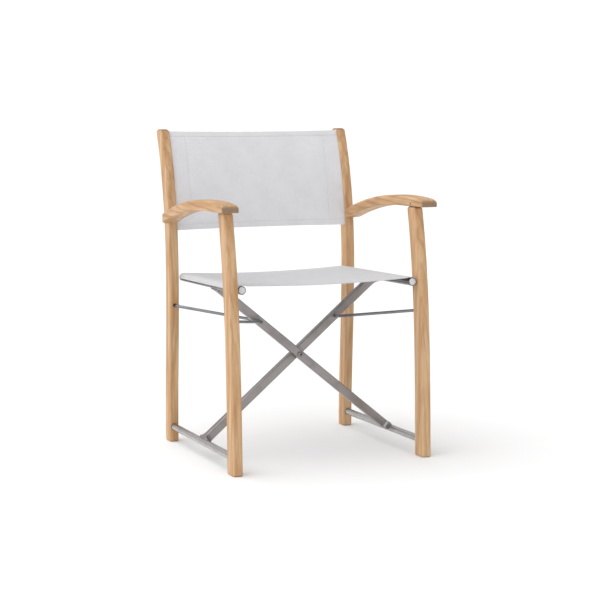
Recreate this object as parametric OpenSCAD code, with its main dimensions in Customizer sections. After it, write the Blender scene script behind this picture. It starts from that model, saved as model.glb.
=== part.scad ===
// Folding director chair. Two wooden side frames are joined by a steel scissor frame
// that carries the seat, and a sling of woven mesh spans the back posts.
// Z is up and +Y is the back of the chair. The origin is on the floor, under the middle of the chair.

/* [Overall] */
// Height of the back posts
post_height = 870; // [800:1:1045]
// Width over the outer faces of the legs
frame_width = 565; // [465:1:680]
// Front of the front feet to the front of the rear feet
foot_spacing = 483; // [400:1:580]
// Height of the tops of the front legs, where the armrests sit
arm_height = 664; // [600:1:720]
// Height of the seat rails at their middle
seat_height = 465.5; // [400:0.5:530]

/* [Legs] */
// Width of every leg
leg_width = 26; // [24:0.5:34]
// Depth of the front legs at the floor
front_leg_depth = 46; // [40:0.5:56]
// Depth of the front legs under the armrests
front_leg_top_depth = 43; // [38:0.5:52]
// Depth of the rear legs
rear_leg_depth = 39.5; // [34:0.5:50]
// How far the front legs lean back at their tops
front_leg_rake = 52; // [30:1:65]
// How far the rear legs bow forward
rear_leg_bow = 69; // [40:1:85]
// How far the back posts lean back at their tops
post_rake = 44; // [20:1:70]
// Radius of the long edges of the wood
wood_edge = 4; // [2:0.5:6]
// Radius of the eased edge round the feet
foot_ease = 5; // [2:0.5:6]
// Radius of the eased edge round the tops of the back posts
post_top_ease = 6; // [2:0.5:8]

/* [Armrests] */
// Width of the armrests
arm_width = 47; // [40:1:60]
// Thickness of the armrests at the crown
arm_thickness = 27.5; // [24:0.5:36]
// Radius of the arch of the armrests
arm_arch = 1090; // [900:10:1600]
// Front foot to the armrest's nose
arm_setback = 10; // [0:1:25]
// Front foot to the crown of the arch
arm_crown = 140; // [125:1:180]
// How far the nose rounds down
nose_drop = 14; // [8:0.5:18]
// Length of the nose's rounding
nose_length = 26; // [14:1:30]
// Length of the rounded corners, seen from above
arm_corner = 10; // [6:0.5:14]
// How far the nose's corners are rounded in
nose_inset = 7; // [3:0.5:10]
// How far the outer rear corner is rounded in
tail_inset = 8; // [3:0.5:14]
// Height of the tenons on the front legs
tenon_height = 15; // [10:0.5:18]
// Width of the tenons, across the leg
tenon_width = 13; // [9:0.5:16]
// Shoulder in front of and behind each tenon
tenon_shoulder = 8; // [5:0.5:11]
// Diameter of the pegs and dowels
dowel_d = 8; // [6:0.5:10]
// Length of the dowels at the rear of the armrests
dowel_length = 36; // [24:1:44]
// Distance between the two dowels, one above the other
dowel_pitch = 13; // [11:0.5:15]

/* [Scissor frame] */
// Height of the floor stretcher tubes
stretcher_height = 42.5; // [36:0.5:60]
// Diameter of the floor stretcher tubes
stretcher_d = 19; // [16:0.5:20]
// Diameter of the seat rail tubes
rail_d = 22; // [18:0.5:25]
// Wall of all the tubes
tube_wall = 1.5; // [1:0.1:2]
// How far the stretcher tubes enter the legs
stretcher_entry = 16; // [10:0.5:20]
// Front foot to the front end of the seat rails
rail_setback = 31; // [20:1:60]
// Rear end of the seat rails, short of the rear foot's front
rail_rear_setback = 10; // [5:1:40]
// Fall of the seat rails from front to rear
rail_fall = 5; // [0:0.5:15]
// Height of the cross bars' section
bar_height = 22.5; // [18:0.5:26]
// Depth of the cross bars' section
bar_depth = 20; // [16:0.5:25]
// Radius of the welds that spread the bars onto the tubes
weld_fillet = 9; // [4:0.5:12]

/* [Pivot] */
// Diameter of the pivot bolt
bolt_d = 8; // [6:0.5:10]
// Diameter of the bolt's head
bolt_head_d = 15; // [13:0.5:18]
// Diameter of the steel washers
washer_d = 18; // [15:0.5:24]
// Diameter of the spacer between the bars
spacer_d = 21.5; // [16:0.5:26]
// Thickness of the spacer between the bars
spacer_thickness = 4; // [2:0.5:8]
// Thickness of the steel washers
washer_thickness = 1.2; // [0.8:0.1:2]
// Wall of the bushes in the bars
bush_wall = 2; // [1.5:0.5:3]

/* [Link rods] */
// Diameter of the link rods
link_d = 8; // [6:0.5:9]
// Distance from the pivot to the link holes, along the bars
link_reach = 150; // [110:1:180]
// Radius of the bends
link_bend = 12; // [9:0.5:20]
// Straight length of rod outside the legs, before the bend
link_stub = 9; // [4:0.5:20]
// How far the rods enter the legs
link_entry = 15; // [10:0.5:18]
// Wall of the rods' bushes in the legs
link_bush_wall = 1.5; // [1:0.1:2.5]

/* [Slings] */
// Thickness of the woven mesh
sling_thickness = 1; // [0.6:0.1:2]
// Sag of the seat between its rails
seat_sag = 7; // [0:1:20]
// Angle below level, on the outer side, where the seat sling leaves its rail
seat_slot_angle = 50; // [35:1:60]
// Setback of the seat sling from the ends of the rails
seat_sling_setback = 6; // [4:1:20]
// Height of the back sling
back_sling_height = 262; // [200:1:280]
// Top of the back sling below the top of the posts
back_sling_drop = 12; // [10:1:40]
// Depth of the back sling behind the front of the posts
back_sling_inset = 8; // [7:0.5:14]
// Diameter of the cords sewn into the edges of both slings
keder_d = 6; // [4:0.5:7]
// Width of the slots that hold the slings
slot_width = 3; // [2.6:0.1:4]
// Wood between the keyholes and the inner faces of the posts
keyhole_lip = 4; // [3:0.5:6]

/* [Clearances] */
// Running clearance of pins and tubes in their holes, on the radius
running_gap = 0.05; // [0.02:0.01:0.1]
// Gap between pieces that move past one another
moving_gap = 0.5; // [0.3:0.1:1]
// Gap between the seat sling and the leg beside it
leg_gap = 2; // [1:0.1:6]
// Gap between the seat sling and the tubes it goes over
sling_gap = 0.3; // [0.2:0.05:0.6]
// Room for the back sling's cords in their keyholes, on the radius
keder_room = 1; // [0.5:0.1:1.5]
// How much wider than the rods the bars' link holes are, on the radius
link_hole_gap = 0.3; // [0.1:0.05:0.8]

/* [Hidden] */
$fn = 48;
// Steps in the lofts of the legs, the armrests and the back sling
FRONT_LEG_STEPS = 14;
REAR_LEG_STEPS = 20;
ARM_STEPS = 18;
BACK_STEPS = 8;
// Steps in the outline of the seat sling: across the seat, and round a rail
SEAT_STEPS = 20;
WRAP_STEPS = 12;
// How far a cutter runs past the face that it cuts
CUT = 1;
// How far two shapes that join run into one another
LAP = 0.01;
// Corner radius of a section whose corners are square
SHARP = 0.1;

// Overall places
overall_depth = foot_spacing + rear_leg_depth
    + max([for (l = leg_levels(post_height, post_top_ease, REAR_LEG_STEPS)) rear_leg_bend(l[0]) - l[1]]);
y_front = -overall_depth / 2;
y_rear = y_front + foot_spacing;
leg_x = (frame_width - leg_width) / 2;
leg_inner_x = leg_x - leg_width / 2;

// Seat rails, whose slings stay clear of the legs
rail_r = rail_d / 2;
sling_in_r = rail_r + sling_gap;
sling_out_r = sling_in_r + sling_thickness;
rail_x = leg_inner_x - leg_gap - sling_out_r;
rail_y0 = y_front + rail_setback;
rail_y1 = y_rear - rail_rear_setback;
rail_mid_y = (rail_y0 + rail_y1) / 2;
rail_length = rail_y1 - rail_y0;
rail_tilt = atan(rail_fall / rail_length);

// Scissor: each bar runs straight from a stretcher to the rail of the other side
bar_angle = atan((seat_height - stretcher_height) / (leg_x + rail_x));
lower_arm = leg_x / cos(bar_angle);
upper_arm = rail_x / cos(bar_angle);
pivot_z = stretcher_height + lower_arm * sin(bar_angle);
cross_y = y_front + foot_spacing / 2;
front_bar_y = cross_y - (spacer_thickness + bar_depth) / 2;
rear_bar_y = cross_y + (spacer_thickness + bar_depth) / 2 + moving_gap;

// Link rods: the leg hole is set so that the side frames stand upright both when the
// chair is open and when its bars are upright
link_hole_z = stretcher_height + 2 * lower_arm * link_reach * (sin(bar_angle) + 1)
    / (lower_arm + link_reach);
link_bar_x = link_reach * cos(bar_angle);
link_bar_z = pivot_z + link_reach * sin(bar_angle);

// Back sling
sling_z1 = post_height - back_sling_drop;
sling_z0 = sling_z1 - back_sling_height;
keder_hole_d = keder_d + 2 * keder_room;
keder_depth = keyhole_lip + keder_hole_d / 2;
keyhole_z0 = sling_z0 - 2;

// A cubic Bezier curve that starts at nothing
function bow(b1, b2, b3, t) = 3 * b1 * t * pow(1 - t, 2) + 3 * b2 * t * t * (1 - t) + b3 * pow(t, 3);
// Front faces of the legs at a height, and the rear face of the front legs
function front_leg_face(z) = y_front + bow(4, 4, front_leg_rake, z / arm_height);
function front_leg_depth_at(z) =
    front_leg_depth + (front_leg_top_depth - front_leg_depth) * z / arm_height;
function front_leg_back(z) = front_leg_face(z) + front_leg_depth_at(z);
function rear_leg_bend(z) = bow(0, -rear_leg_bow, post_rake, z / post_height);
function rear_leg_face(z) = y_rear + rear_leg_bend(z);

// Outlines of the armrest, seen from the side
function arch_fall(d) = arm_arch - sqrt(pow(arm_arch, 2) - d * d);
function quarter_fall(s, length, drop) =
    s >= length ? 0 : drop * (1 - sqrt(max(0, 1 - pow((length - s) / length, 2))));
arm_y0 = y_front + arm_setback;
arm_crown_y = y_front + arm_crown;
function arm_top(y) = arm_height + arm_thickness - arch_fall(y - arm_crown_y)
    - quarter_fall(y - arm_y0, nose_length, nose_drop);
function arm_under(y) = arm_height - (y > arm_crown_y ? arch_fall(y - arm_crown_y) : 0);
arm_end_z = arm_under(rear_leg_face(arm_height)) + arm_thickness / 2;
arm_y1 = rear_leg_face(arm_end_z);

// A rounded rectangle as a list of points, going round from the low corner
function rounded(u0, u1, v0, v1, r, steps = 3) = [
    for (c = [
        [u0 + r, v0 + r, 180],
        [u1 - r, v0 + r, 270],
        [u1 - r, v1 - r, 0],
        [u0 + r, v1 - r, 90]
    ])
        for (i = [0 : steps]) let (a = c[2] + 90 * i / steps) [c[0] + r * cos(a), c[1] + r * sin(a)]
];
function level_ring(x0, x1, y0, y1, r, z) = [for (p = rounded(x0, x1, y0, y1, r)) [p[0], p[1], z]];

// A closed solid through a list of rings with equal numbers of points
module loft(rings) {
    count = len(rings[0]);
    last = len(rings) - 1;
    polyhedron(
        points = [for (ring = rings) each ring],
        faces = concat(
            [[for (i = [0 : count - 1]) i]],
            [[for (i = [count - 1 : -1 : 0]) last * count + i]],
            [for (k = [0 : last - 1]) for (i = [0 : count - 1]) let (j = (i + 1) % count)
                each [
                    [k * count + i, (k + 1) * count + i, (k + 1) * count + j],
                    [k * count + i, (k + 1) * count + j, k * count + j]
                ]]
        )
    );
}

module sided(side) {
    if (side < 0) mirror([1, 0, 0]) children();
    else children();
}

// A hole or a pin that lies along Y, from one depth to another
module along_y(x, z, y0, y1, d) {
    translate([x, y0, z]) rotate([-90, 0, 0]) cylinder(h = y1 - y0, d = d);
}

// ---------- Wooden side frames, drawn for the right side ----------

// Heights and insets of the rings of a leg: an eased foot, the long run, and an eased top
function ease_rings(ease) = [for (a = [90, 60, 30]) [ease * (1 - sin(a)), ease * (1 - cos(a))]];
function leg_levels(top, top_ease, steps) = concat(
    ease_rings(foot_ease),
    [for (i = [0 : steps]) [foot_ease + (top - top_ease - foot_ease) * i / steps, 0]],
    top_ease > 0 ? [for (e = [2 : -1 : 0]) let (p = ease_rings(top_ease)[e]) [top - p[0], p[1]]] : []
);

module front_leg_blank() {
    loft([for (l = leg_levels(arm_height, 0, FRONT_LEG_STEPS)) level_ring(
        leg_inner_x + l[1], leg_inner_x + leg_width - l[1],
        front_leg_face(l[0]) + l[1], front_leg_back(l[0]) - l[1],
        wood_edge, l[0])]);
}

// The leg's outside. With a spread it is a wider, square-edged copy that cuts the armrest's end to fit.
module rear_leg_blank(spread = 0) {
    loft([for (l = leg_levels(post_height, post_top_ease, REAR_LEG_STEPS)) level_ring(
        leg_inner_x + l[1] - spread, leg_inner_x + leg_width - l[1] + spread,
        rear_leg_face(l[0]) + l[1], rear_leg_face(l[0]) + rear_leg_depth - l[1],
        spread > 0 ? SHARP : wood_edge, l[0])]);
}

// Tenon on top of the front leg, with room round it inside the armrest
tenon_depth = front_leg_top_depth - 2 * tenon_shoulder;
tenon_y = (front_leg_face(arm_height) + front_leg_back(arm_height)) / 2;
module tenon(extra = 0) {
    translate([leg_x - tenon_width / 2, tenon_y - tenon_depth / 2, arm_height - LAP])
        cube([tenon_width, tenon_depth, tenon_height + LAP + extra]);
}

// A peg from the armrest's inner face pins the tenon
peg_past_tenon = 5;
peg_length = leg_x + tenon_width / 2 + peg_past_tenon - leg_inner_x;
module peg() {
    translate([leg_inner_x, tenon_y, arm_height + tenon_height / 2])
        rotate([0, 90, 0]) cylinder(h = peg_length, d = dowel_d);
}

// Two dowels join the rear end of the armrest to the back post, midway between the
// sling's keyhole and the post's outer face
dowel_x = leg_inner_x + (keder_depth + keder_hole_d / 2 + leg_width) / 2;
module arm_dowel_pair() {
    for (s = [-1, 1])
        along_y(dowel_x, arm_end_z + s * dowel_pitch / 2, arm_y1 - dowel_length / 2,
            arm_y1 + dowel_length / 2, dowel_d);
}

// A blind hole in a leg, from its face into the wood
module blind_hole(z, face_y, toward, depth, d) {
    ends = [face_y - toward * CUT, face_y + toward * (depth + moving_gap)];
    along_y(leg_x, z, min(ends), max(ends), d);
}

// The holes for the stretcher tube and for the link rod's bush
link_bush_d = link_d + 2 * link_bush_wall;
module leg_holes(low_face, high_face, toward) {
    blind_hole(stretcher_height, low_face, toward, stretcher_entry, stretcher_d + 2 * running_gap);
    blind_hole(link_hole_z, high_face, toward, link_entry, link_bush_d);
}

module front_leg() {
    difference() {
        union() {
            front_leg_blank();
            tenon();
        }
        peg();
        leg_holes(front_leg_back(stretcher_height), front_leg_back(link_hole_z), -1);
    }
}

module rear_leg() {
    difference() {
        rear_leg_blank();
        arm_dowel_pair();
        leg_holes(rear_leg_face(stretcher_height), rear_leg_face(link_hole_z), 1);
        back_slot();
    }
}

// Plain bearings of the link rods, sunk a little below the faces of the legs
bush_sink = 1;
module link_bushes() {
    for (leg = [[front_leg_back(link_hole_z), -1], [rear_leg_face(link_hole_z), 1]]) {
        ends = [leg[0] + leg[1] * bush_sink, leg[0] + leg[1] * (link_entry + moving_gap)];
        difference() {
            along_y(leg_x, link_hole_z, min(ends), max(ends), link_bush_d);
            along_y(leg_x, link_hole_z, min(ends) - CUT, max(ends) + CUT, link_d + 2 * running_gap);
        }
    }
}

// Stations along the armrest: the rounded nose, the long run and the rounded rear corner
function arm_stations() = let (y0 = arm_y0 + nose_length, y1 = arm_y1 - arm_corner) concat(
    [for (a = [90, 70, 50, 35, 20]) y0 - nose_length * sin(a)],
    [for (i = [0 : ARM_STEPS]) y0 + (y1 - y0) * i / ARM_STEPS],
    [for (a = [60, 30, 0]) y1 + arm_corner * cos(a)]
);
function arm_ring(y) = let (
    nose_in = quarter_fall(y - arm_y0, arm_corner, nose_inset),
    tail_in = quarter_fall(arm_y1 - y, arm_corner, tail_inset),
    x0 = leg_inner_x + nose_in,
    x1 = leg_inner_x + arm_width - nose_in - tail_in
) [for (p = rounded(x0, x1, arm_under(y), arm_top(y), wood_edge)) [p[0], y, p[1]]];

module armrest() {
    difference() {
        loft([for (y = concat(arm_stations(), [arm_y1 + rear_leg_depth / 2])) arm_ring(y)]);
        rear_leg_blank(arm_width);
        tenon(moving_gap);
        peg();
        arm_dowel_pair();
    }
}

// Keyhole slot in the inner face of the post, open at the top so that the sling slides in
function back_levels(z0, z1) = [for (i = [0 : BACK_STEPS]) z0 + (z1 - z0) * i / BACK_STEPS];
function back_line(z) = rear_leg_face(z) + back_sling_inset;
module back_round(d, z0, z1) {
    loft([for (z = back_levels(z0, z1)) [for (a = [0 : 30 : 330])
        [leg_inner_x + keder_depth + d / 2 * cos(a), back_line(z) + d / 2 * sin(a), z]]]);
}

module back_slot() {
    back_round(keder_hole_d, keyhole_z0, post_height + CUT);
    loft([for (z = back_levels(keyhole_z0, post_height + CUT)) level_ring(
        leg_inner_x - CUT, leg_inner_x + keder_depth,
        back_line(z) - slot_width / 2, back_line(z) + slot_width / 2, SHARP, z)]);
}

module back_keder() {
    back_round(keder_d, sling_z0, sling_z1);
}

// ---------- Steel scissor frame ----------

// Stretcher tube, whose ends turn in the legs on plugs with thin heads
plug_length = 12;
plug_head = 2;
plug_ease = 0.3;
stretcher_y0 = front_leg_back(stretcher_height) - stretcher_entry + plug_head;
stretcher_y1 = rear_leg_face(stretcher_height) + stretcher_entry - plug_head;
stretcher_bore = stretcher_d - 2 * tube_wall;
module stretcher() {
    difference() {
        along_y(leg_x, stretcher_height, stretcher_y0, stretcher_y1, stretcher_d);
        along_y(leg_x, stretcher_height, stretcher_y0 - CUT, stretcher_y1 + CUT, stretcher_bore);
    }
}

module stretcher_plugs() {
    for (end = [[stretcher_y0, -1], [stretcher_y1, 1]])
        translate([leg_x, end[0], stretcher_height]) rotate([-90 * end[1], 0, 0]) {
            cylinder(h = plug_head, d = stretcher_d - 2 * plug_ease);
            translate([0, 0, -plug_length]) cylinder(h = plug_length + LAP, d = stretcher_bore);
        }
}

// Places children in the tilted frame of the right seat rail, with the origin at its middle
module at_rail() {
    translate([rail_x, rail_mid_y, seat_height]) rotate([-rail_tilt, 0, 0]) children();
}

cap_head = 2.5;
cap_r = rail_r - 0.5;
cap_round = 1;
plug_lead = 2;
plug_taper = 0.8;
tube_half = rail_length / 2 - cap_head;

module seat_rail() {
    at_rail() difference() {
        along_y(0, 0, -tube_half, tube_half, rail_d);
        along_y(0, 0, -tube_half - CUT, tube_half + CUT, rail_d - 2 * tube_wall);
        rotate([0, seat_slot_angle, 0]) translate([rail_r / 2, -tube_half - CUT, -slot_width / 2])
            cube([rail_r, 2 * tube_half + 2 * CUT, slot_width]);
    }
}

// Push-in cap: a plug with a tapered lead, and a head with a rounded rim
module rail_cap() {
    bore_r = rail_r - tube_wall;
    rotate_extrude() polygon([
        [0, -plug_length], [bore_r - plug_taper, -plug_length], [bore_r, plug_lead - plug_length],
        [bore_r, 0], [cap_r, 0],
        for (a = [0 : 30 : 90]) [cap_r, cap_head] + cap_round * [cos(a) - 1, sin(a) - 1],
        [0, cap_head]
    ]);
}

module rail_caps() {
    at_rail() for (s = [-1, 1])
        translate([0, s * tube_half, 0]) rotate([-90 * s, 0, 0]) rail_cap();
}

// Cord inside the rail, just behind the slot. It stops short of the caps.
keder_gap = 0.2;
keder_r = rail_r - tube_wall - keder_d / 2 - keder_gap;
keder_half = tube_half - plug_length - 2;
module seat_keder() {
    at_rail() rotate([0, seat_slot_angle, 0]) along_y(keder_r, 0, -keder_half, keder_half, keder_d);
}

// Frame of a bar: X runs up the bar from the stretcher, Z is square to it
module at_bar(y) {
    translate([-leg_x, y, stretcher_height]) rotate([0, -bar_angle, 0]) children();
}

// The bar spreads along Y in two concave arcs where it is welded to a tube
weld_start = 0.75;
module weld_flare(tube_r) {
    start = tube_r * weld_start;
    reach = tube_r + weld_fillet;
    half = bar_depth / 2 + weld_fillet;
    translate([0, 0, -bar_height / 2]) linear_extrude(bar_height) difference() {
        translate([start, -half]) square([reach - start, 2 * half]);
        for (s = [-1, 1]) translate([reach, s * half]) circle(weld_fillet);
    }
}

module cross_bar(y) {
    bar_length = lower_arm + upper_arm;
    difference() {
        at_bar(y) {
            difference() {
                translate([0, -bar_depth / 2, -bar_height / 2]) bar_tube(bar_length);
                along_y(lower_arm, 0, -bar_depth, bar_depth, pivot_bush_d);
                along_y(lower_arm + link_reach, 0, -bar_depth, bar_depth, link_d + 2 * link_hole_gap);
            }
            weld_flare(stretcher_d / 2);
            translate([bar_length, 0, 0]) mirror([1, 0, 0]) weld_flare(rail_r);
        }
        along_y(-leg_x, stretcher_height, stretcher_y0, stretcher_y1, stretcher_d);
        at_rail() along_y(0, 0, -tube_half, tube_half, rail_d);
    }
}

// Rectangular tube with rounded edges, from the origin corner along X
bar_corner = 3;
module bar_tube(length) {
    rotate([90, 0, 90]) linear_extrude(length) difference() {
        rounded_rect(bar_depth, bar_height, bar_corner);
        translate([tube_wall, tube_wall]) rounded_rect(
            bar_depth - 2 * tube_wall, bar_height - 2 * tube_wall, bar_corner - tube_wall);
    }
}

module rounded_rect(w, h, r) {
    translate([r, 0]) square([w - 2 * r, h]);
    translate([0, r]) square([w, h - 2 * r]);
    for (x = [r, w - r]) for (y = [r, h - r]) translate([x, y]) circle(r);
}

pivot_bush_d = bolt_d + 2 * bush_wall;
module pivot_bush(y) {
    difference() {
        along_y(0, pivot_z, y - bar_depth / 2, y + bar_depth / 2, pivot_bush_d);
        along_y(0, pivot_z, y - bar_depth, y + bar_depth, bolt_d + 2 * running_gap);
    }
}

// Domed bolt with a hexagon socket, washers and a domed nut
stack_y0 = front_bar_y - bar_depth / 2;
stack_y1 = rear_bar_y + bar_depth / 2 + moving_gap;
grip = stack_y1 - stack_y0 + 2 * washer_thickness;
head_height = 4.5;
head_rim = 1;
socket_depth = 3;
nut_height = 7;
nut_dome_rise = 1;
// Widths over the corners of the hexagons, and of the nut's dome, as shares of the bolt's diameter
SOCKET_SHARE = 0.72;
NUT_SHARE = 1.85;
DOME_SHARE = 1.5;
module pivot_bolt() {
    head_r = bolt_head_d / 2;
    crown = head_height - head_rim;
    shank = grip + nut_height - nut_dome_rise;
    translate([0, stack_y0 - washer_thickness, pivot_z]) rotate([90, 0, 0]) difference() {
        union() {
            rotate_extrude() polygon([
                [0, 0], [head_r, 0], [head_r, head_rim],
                for (a = [15 : 15 : 60]) [head_r * cos(a), head_rim + crown * sin(a) / sin(60)],
                [0, head_height]
            ]);
            translate([0, 0, -shank]) cylinder(h = shank + head_rim, d = bolt_d);
        }
        translate([0, 0, head_height - socket_depth])
            cylinder(h = socket_depth + CUT, d = bolt_d * SOCKET_SHARE, $fn = 6);
    }
}

module pivot_nut() {
    dome_d = bolt_d * DOME_SHARE;
    hex_height = nut_height - nut_dome_rise;
    translate([0, stack_y1 + washer_thickness, pivot_z]) rotate([-90, 0, 0]) difference() {
        union() {
            cylinder(h = hex_height, d = bolt_d * NUT_SHARE, $fn = 6);
            translate([0, 0, hex_height]) intersection() {
                translate([0, 0, -nut_dome_rise]) sphere(d = dome_d);
                cylinder(h = dome_d, d = dome_d);
            }
        }
        translate([0, 0, -CUT]) cylinder(h = nut_height + CUT, d = bolt_d);
    }
}

module pivot_washers() {
    for (y = [stack_y0 - washer_thickness, stack_y1]) difference() {
        along_y(0, pivot_z, y, y + washer_thickness, washer_d);
        along_y(0, pivot_z, y - CUT, y + washer_thickness + CUT, bolt_d + 2 * running_gap);
    }
}

module pivot_spacer() {
    y = front_bar_y + bar_depth / 2;
    difference() {
        along_y(0, pivot_z, y, y + spacer_thickness, spacer_d);
        along_y(0, pivot_z, y - CUT, y + spacer_thickness + CUT, bolt_d + 2 * running_gap);
    }
}

// ---------- Link rods, drawn for the right side ----------

function unit(v) = v / norm(v);
// A matrix from three axes and an origin
function axes(x, y, z, o) =
    [[x[0], y[0], z[0], o[0]], [x[1], y[1], z[1], o[1]], [x[2], y[2], z[2], o[2]], [0, 0, 0, 1]];
function half_tan(u, v) = tan(acos(u * v) / 2);

module straight(a, b, d) {
    w = unit(b - a);
    side = unit(cross(w, abs(w[2]) < 0.9 ? [0, 0, 1] : [1, 0, 0]));
    multmatrix(axes(side, cross(w, side), w, a)) cylinder(h = norm(b - a), d = d);
}

module bend(corner, u, v, r, d) {
    n = unit(v - u * (u * v));
    multmatrix(axes(-n, u, cross(u, n), corner - u * r * half_tan(u, v) + n * r))
        rotate_extrude(angle = acos(u * v)) translate([r, 0]) circle(d = d);
}

// A round rod through four points, bent at the middle two. The straights run a little
// way into the bends, which are a hair thicker.
bend_lap = 0.3;
bend_swell = 0.04;
module bent_rod(a, b, c, e, r, d) {
    u = unit(b - a);
    v = unit(c - b);
    w = unit(e - c);
    first = r * half_tan(u, v) - bend_lap;
    second = r * half_tan(v, w) - bend_lap;
    straight(a, b - u * first, d);
    bend(b, u, v, r, d + bend_swell);
    straight(b + v * first, c - v * second, d);
    bend(c, v, w, r, d + bend_swell);
    straight(c + w * second, e, d);
}

// The rod's lower end would enter the bar; here it stops just short of the bar's face
module link_rod(leg_y, bar_y, toward) {
    bent_rod(
        [leg_x, leg_y - toward * link_entry, link_hole_z],
        [leg_x, leg_y + toward * (link_stub + link_bend / 2), link_hole_z],
        [link_bar_x, bar_y - toward * (moving_gap + link_bend), link_bar_z],
        [link_bar_x, bar_y - toward * moving_gap, link_bar_z],
        link_bend, link_d);
}

// The right rods reach the rear bar and the left rods reach the front bar
module link_rod_front(bar_y) {
    link_rod(front_leg_back(link_hole_z), bar_y - bar_depth / 2, 1);
}

module link_rod_rear(bar_y) {
    link_rod(rear_leg_face(link_hole_z), bar_y + bar_depth / 2, -1);
}

// ---------- Slings ----------

// Height of the seat over the line of the rails' middles, sagging between them
function seat_line(x, r) = r - seat_sag * (1 - pow(x / rail_x, 2));
sling_half = rail_length / 2 - seat_sling_setback;

// Mesh on the outer side of the right rail, from the top down to the slot
function wrap(r) = [
    for (i = [0 : WRAP_STEPS]) let (a = 90 - (90 + seat_slot_angle) * i / WRAP_STEPS)
        rail_middle + r * [cos(a), sin(a)]
];
// Mesh between the rails
function panel(r) = [
    for (i = [1 : SEAT_STEPS - 1]) let (x = rail_x * (1 - 2 * i / SEAT_STEPS)) [x, seat_line(x, r)]
];
function mirrored(points) = [for (i = [len(points) - 1 : -1 : 0]) [-points[i][0], points[i][1]]];
function reversed(points) = [for (i = [len(points) - 1 : -1 : 0]) points[i]];
// The edge of the mesh passes through the slot to the cord
rail_middle = [rail_x, 0];
tongue_r = keder_r + keder_d / 2 + sling_gap;
slot_out = [cos(seat_slot_angle), -sin(seat_slot_angle)];
slot_up = [sin(seat_slot_angle), cos(seat_slot_angle)];
tongue = [
    rail_middle + slot_out * tongue_r,
    rail_middle + slot_out * tongue_r + slot_up * sling_thickness,
    rail_middle + slot_out * sling_in_r + slot_up * sling_thickness
];
// The inner line of the mesh ends where it meets the tongue
inner_wrap = [for (p = wrap(sling_in_r)) if ((p - rail_middle) * slot_up > sling_thickness + SHARP / 2) p];
right_outline = concat(wrap(sling_out_r), tongue, reversed(inner_wrap));

module seat_sling() {
    translate([0, rail_mid_y, seat_height]) rotate([-rail_tilt, 0, 0])
        rotate([90, 0, 0]) translate([0, 0, -sling_half]) linear_extrude(2 * sling_half)
            polygon(concat(
                right_outline,
                panel(sling_in_r),
                mirrored(right_outline),
                reversed(panel(sling_out_r))));
}

module back_sling() {
    half = leg_inner_x + keder_depth - keder_d / 2 - moving_gap;
    loft([for (z = back_levels(sling_z0, sling_z1)) level_ring(
        -half, half, back_line(z) - sling_thickness / 2, back_line(z) + sling_thickness / 2, SHARP, z)]);
}

// ---------- Nodes ----------

TEAK = [0.82, 0.66, 0.48];
STEEL = [0.66, 0.66, 0.67];
POLISHED = [0.78, 0.78, 0.80];
NYLON = [0.93, 0.93, 0.93];
MESH = [0.88, 0.89, 0.91];

color(TEAK) sided(-1) front_leg();  // front_leg_left
color(TEAK) sided(1) front_leg();  // front_leg_right
color(TEAK) sided(-1) rear_leg();  // rear_leg_left
color(TEAK) sided(1) rear_leg();  // rear_leg_right
color(TEAK) sided(-1) armrest();  // armrest_left
color(TEAK) sided(1) armrest();  // armrest_right
color(TEAK) sided(-1) peg();  // arm_peg_left
color(TEAK) sided(1) peg();  // arm_peg_right
color(TEAK) sided(-1) arm_dowel_pair();  // arm_dowels_left
color(TEAK) sided(1) arm_dowel_pair();  // arm_dowels_right
color(NYLON) sided(-1) link_bushes();  // link_bushes_left
color(NYLON) sided(1) link_bushes();  // link_bushes_right
color(NYLON) sided(-1) back_keder();  // back_keder_left
color(NYLON) sided(1) back_keder();  // back_keder_right
color(STEEL) sided(-1) stretcher();  // stretcher_left
color(STEEL) sided(1) stretcher();  // stretcher_right
color(NYLON) sided(-1) stretcher_plugs();  // stretcher_plugs_left
color(NYLON) sided(1) stretcher_plugs();  // stretcher_plugs_right
color(STEEL) sided(-1) cross_bar(front_bar_y);  // cross_bar_front
color(STEEL) sided(1) cross_bar(rear_bar_y);  // cross_bar_rear
color(STEEL) sided(-1) seat_rail();  // seat_rail_left
color(STEEL) sided(1) seat_rail();  // seat_rail_right
color(NYLON) sided(-1) rail_caps();  // rail_caps_left
color(NYLON) sided(1) rail_caps();  // rail_caps_right
color(NYLON) sided(-1) seat_keder();  // seat_keder_left
color(NYLON) sided(1) seat_keder();  // seat_keder_right
color(STEEL) pivot_bolt();
color(STEEL) pivot_nut();
color(STEEL) pivot_washers();
color(NYLON) pivot_spacer();
color(NYLON) pivot_bush(front_bar_y);  // pivot_bush_front
color(NYLON) pivot_bush(rear_bar_y);  // pivot_bush_rear
color(POLISHED) sided(-1) link_rod_front(front_bar_y);  // link_rod_front_left
color(POLISHED) sided(-1) link_rod_rear(front_bar_y);  // link_rod_rear_left
color(POLISHED) sided(1) link_rod_front(rear_bar_y);  // link_rod_front_right
color(POLISHED) sided(1) link_rod_rear(rear_bar_y);  // link_rod_rear_right
color(MESH) seat_sling();
color(MESH) back_sling();
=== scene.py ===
"""Studio model of a folding director chair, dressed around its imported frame.

The side frames are wood, the scissor frame is satin steel, and the seat and the back are
slings of coated mesh. Every length is in metres: X to the right, Y to the back, Z up.
"""

import logging
import math
from contextlib import contextmanager
from dataclasses import dataclass
from enum import Enum
from functools import cached_property
from typing import Callable, Iterator, Optional, Sequence, Union

import bmesh
import bpy
import numpy as np
from mathutils import Matrix, Vector


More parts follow.
